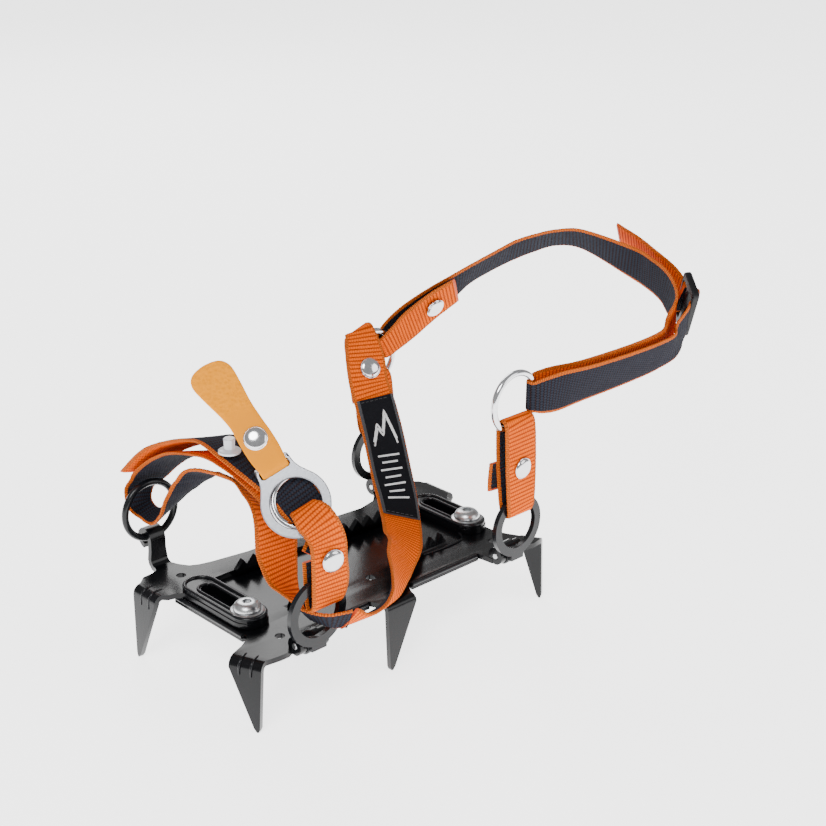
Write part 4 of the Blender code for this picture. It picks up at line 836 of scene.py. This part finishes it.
for tag, sx, far_end, slot_end in (("front", -1, 21.0, 16.0), ("rear", 1, 15.0, 13.5)):
    cx = sx * 67.0
    put(tag + "_arm_lip", merge(rod(stadium(cx, -13.0, far_end, 7.2, 1.45), 0.95, 14, True),
                                rod(stadium(cx, -12.0, slot_end, 4.2, 1.5), 0.75, 14, True)),
        STEEL_EDGE, "far_half")
    prof = [(3.3, 1.8), (6.9, 1.8), (7.4, 2.1), (7.4, 2.5), (6.9, 2.8), (3.3, 2.8), (3.3, 1.8)]
    put(tag + "_washer_look", place(turned(prof), (cx, -12.0, 0), (0, 0, 1)), ZINC, "near_half", (tag + "_washer",))
    z = 3.1
    prof = [(0, z + 3.3), (3.1, z + 3.3), (4.3, z + 3.0), (5.3, z + 2.3), (6.0, z + 1.3), (6.2, z + 0.5), (6.2, z + 0.1),
            (6.0, z), (3.0, z), (3.0, -12.6), (2.4, -13.2), (0, -13.2)]
    bolt = put(tag + "_bolt_look", place(turned(prof), (cx, -12.0, 0), (0, 0, 1)), ZINC, tag + "_bolt",
               (tag + "_adjust_bolt",), 50)
    hexa = slab([(cx + 2.3 * math.cos(math.radians(60 * k + 12)), -12.0 + 2.3 * math.sin(math.radians(60 * k + 12)))
                 for k in range(6)], [], z + 1.2, z + 5.0)
    me = bpy.data.meshes.new("socket")
    bmesh.ops.scale(hexa, vec=(MM, MM, MM), verts=hexa.verts)
    hexa.to_mesh(me)
    tool = bpy.data.objects.new("socket_tool", me)
    bpy.context.scene.collection.objects.link(tool)
    bo = bolt.modifiers.new("Hex socket", "BOOLEAN")
    bo.object, bo.solver, bo.operation = tool, "EXACT", "DIFFERENCE"
    bpy.context.view_layer.update()
    dg = bpy.context.evaluated_depsgraph_get()
    cut = bpy.data.meshes.new_from_object(bolt.evaluated_get(dg))
    bolt.modifiers.clear()
    bolt.data = cut
    bpy.data.objects.remove(tool)
    cut.set_sharp_from_angle(angle=math.radians(45))


def bulge(p, q, r, n=12):
    """Long raised rib, thin at both ends."""
    pts = spline(p, n)
    k = len(pts) - 1
    return rod(pts, [max(0.12, r * math.sin(math.pi * (0.04 + 0.92 * i / k)) ** 0.6) for i in range(k + 1)], 14)


# pressed ribs that stiffen the bends of the two front points
ribs = [bulge([(-78.0, y, -0.7), (-82.0, y, -0.1), (-85.6, y, -0.6), (-87.6, y, -3.0), (-88.3, y, -7.2)], 0, 0.65)
        for y in (31.5, 37.0)]
put("far_point_ribs", merge(*ribs), STEEL_EDGE, "far_half")
ribs = []
for k in (-2.6, 2.9):
    base = Vector((-86.0, -37.0, 0)) + Vector((.394, -.919, 0)) * k
    o = Vector((-.919, -.394, 0))
    ribs.append(bulge([base - o * 5.0 + Vector((0, 0, -3.6)), base - o * 1.0 + Vector((0, 0, -2.9)),
                       base + o * 2.4 + Vector((0, 0, -3.5)), base + o * 4.1 + Vector((0, 0, -5.8)),
                       base + o * 4.6 + Vector((0, 0, -9.6))], 0, 0.65))
put("near_point_ribs", merge(*ribs), STEEL_EDGE, "near_half")
# rolled lips on the panel's front edge and the near bar's outer edge
lips = [rod([(-76.3, -20.5, -3.7), (-76.3, 26.5, -3.7)], 1.1), rod([(-44.5, -35.6, -3.7), (-19.0, -35.6, -3.7)], 1.0),
        rod([(8.0, -35.6, -3.7), (49.5, -35.6, -3.7)], 1.0),
        rod(spline(EMBOSS, 10), 0.55)]
put("panel_lips", merge(*lips), STEEL_EDGE, "near_half")

# ------------------------------------------------------------------- slider
SL_C = Vector((181.0, -45.2, 92.8))
SL_V = Vector((.30, .40, -.86))
SL_N = Vector((.83, -.55, .04))


def rounded(x0, y0, x1, y1, r, n=6):
    return (arc(x1 - r, y1 - r, r, 0, 90, n) + arc(x0 + r, y1 - r, r, 90, 180, n)
            + arc(x0 + r, y0 + r, r, 180, 270, n) + arc(x1 - r, y0 + r, r, 270, 360, n))


bars = slab(rounded(-15.5, -8.5, 15.5, 8.5, 2.4), [rounded(-11.0, -6.2, 11.0, -1.5, 1.0), rounded(-11.0, 1.5, 11.0, 6.2, 1.0)],
            -1.7, 1.7)
place(bars, SL_C + SL_N.normalized() * 3.0, SL_N, SL_V)
ride_web("slider_wrap", [((181.4, -42.6, 94.6), (.30, .40, -.86), 19),
                         ((185.0, -42.8, 94.6), (.30, .40, -.86), 19), ((188.4, -44.6, 94.0), (.30, .40, -.86), 19),
                         ((188.2, -48.4, 92.4), (.30, .40, -.86), 19), ((184.4, -50.6, 91.2), (.30, .40, -.86), 19)],
         [(0, "O", "D")], "slider", (), "dark_web")
put("slider_look", bars, PLASTIC, "slider", ("strap_slider",), 40, 0.8, 3)

# ------------------------------------------------------------ floor, lights
me = bpy.data.meshes.new("floor")
me.from_pydata([(-6, -6, -0.0356), (6, -6, -0.0356), (6, 6, -0.0356), (-6, 6, -0.0356)], [], [(0, 1, 2, 3)])
floor = bpy.data.objects.new("floor", me)
bpy.context.scene.collection.objects.link(floor)
m, nt, b = fresh("floor")
b.inputs["Base Color"].default_value = (0.9, 0.9, 0.9, 1)
b.inputs["Roughness"].default_value = 0.9
b.inputs["Emission Color"].default_value = (1, 1, 1, 1)
b.inputs["Emission Strength"].default_value = 2.7
me.materials.append(m)
floor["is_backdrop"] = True


def lamp(name, pos, aim, size, power):
    d = bpy.data.lights.new(name, "AREA")
    d.size, d.energy, d.shape = size, power, "DISK"
    ob = bpy.data.objects.new(name, d)
    ob.location = pos
    ob.rotation_euler = (Vector(aim) - Vector(pos)).to_track_quat("-Z", "Y").to_euler()
    bpy.context.scene.collection.objects.link(ob)


lamp("key", (-0.9, -0.5, 1.3), (0.05, 0, 0.02), 0.8, 20)
lamp("fill", (0.7, -1.3, 0.7), (0.05, 0, 0.03), 1.0, 7)
lamp("rear", (0.6, 1.2, 1.0), (0.05, 0, 0.03), 1.0, 12)
w = bpy.data.worlds.new("studio")
w.use_nodes = True
w.node_tree.nodes["Background"].inputs[0].default_value = (1, 1, 1, 1)
w.node_tree.nodes["Background"].inputs[1].default_value = 0.4
bpy.context.scene.world = w

cam = bpy.data.cameras.new("camera")
cam.lens, cam.sensor_width, cam.clip_start, cam.clip_end = 69.5, 36.0, 0.01, 30.0
co = bpy.data.objects.new("camera", cam)
bpy.context.scene.collection.objects.link(co)
az, el, roll = math.radians(-43.89), math.radians(21.79), math.radians(0.42)
back = Vector((math.sin(az) * math.cos(el), -math.cos(az) * math.cos(el), math.sin(el)))
right = Vector((math.cos(az), math.sin(az), 0))
up = back.cross(right)
R = right * math.cos(roll) + up * math.sin(roll)
U = up * math.cos(roll) - right * math.sin(roll)
mat = Matrix((R, U, back)).transposed().to_4x4()
mat.translation = Vector((0.0707, 0.0297, 0.0432)) + back * 0.7837
co.matrix_world = mat
bpy.context.scene.camera = co

end_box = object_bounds()


def plain(v):
    if isinstance(v, dict):
        return {k: plain(x) for k, x in v.items()}
    if isinstance(v, (list, tuple, Vector)):
        return [plain(x) for x in v]
    return v if isinstance(v, str) else float(v)


{"start": plain(start_box), "end": plain(end_box)}
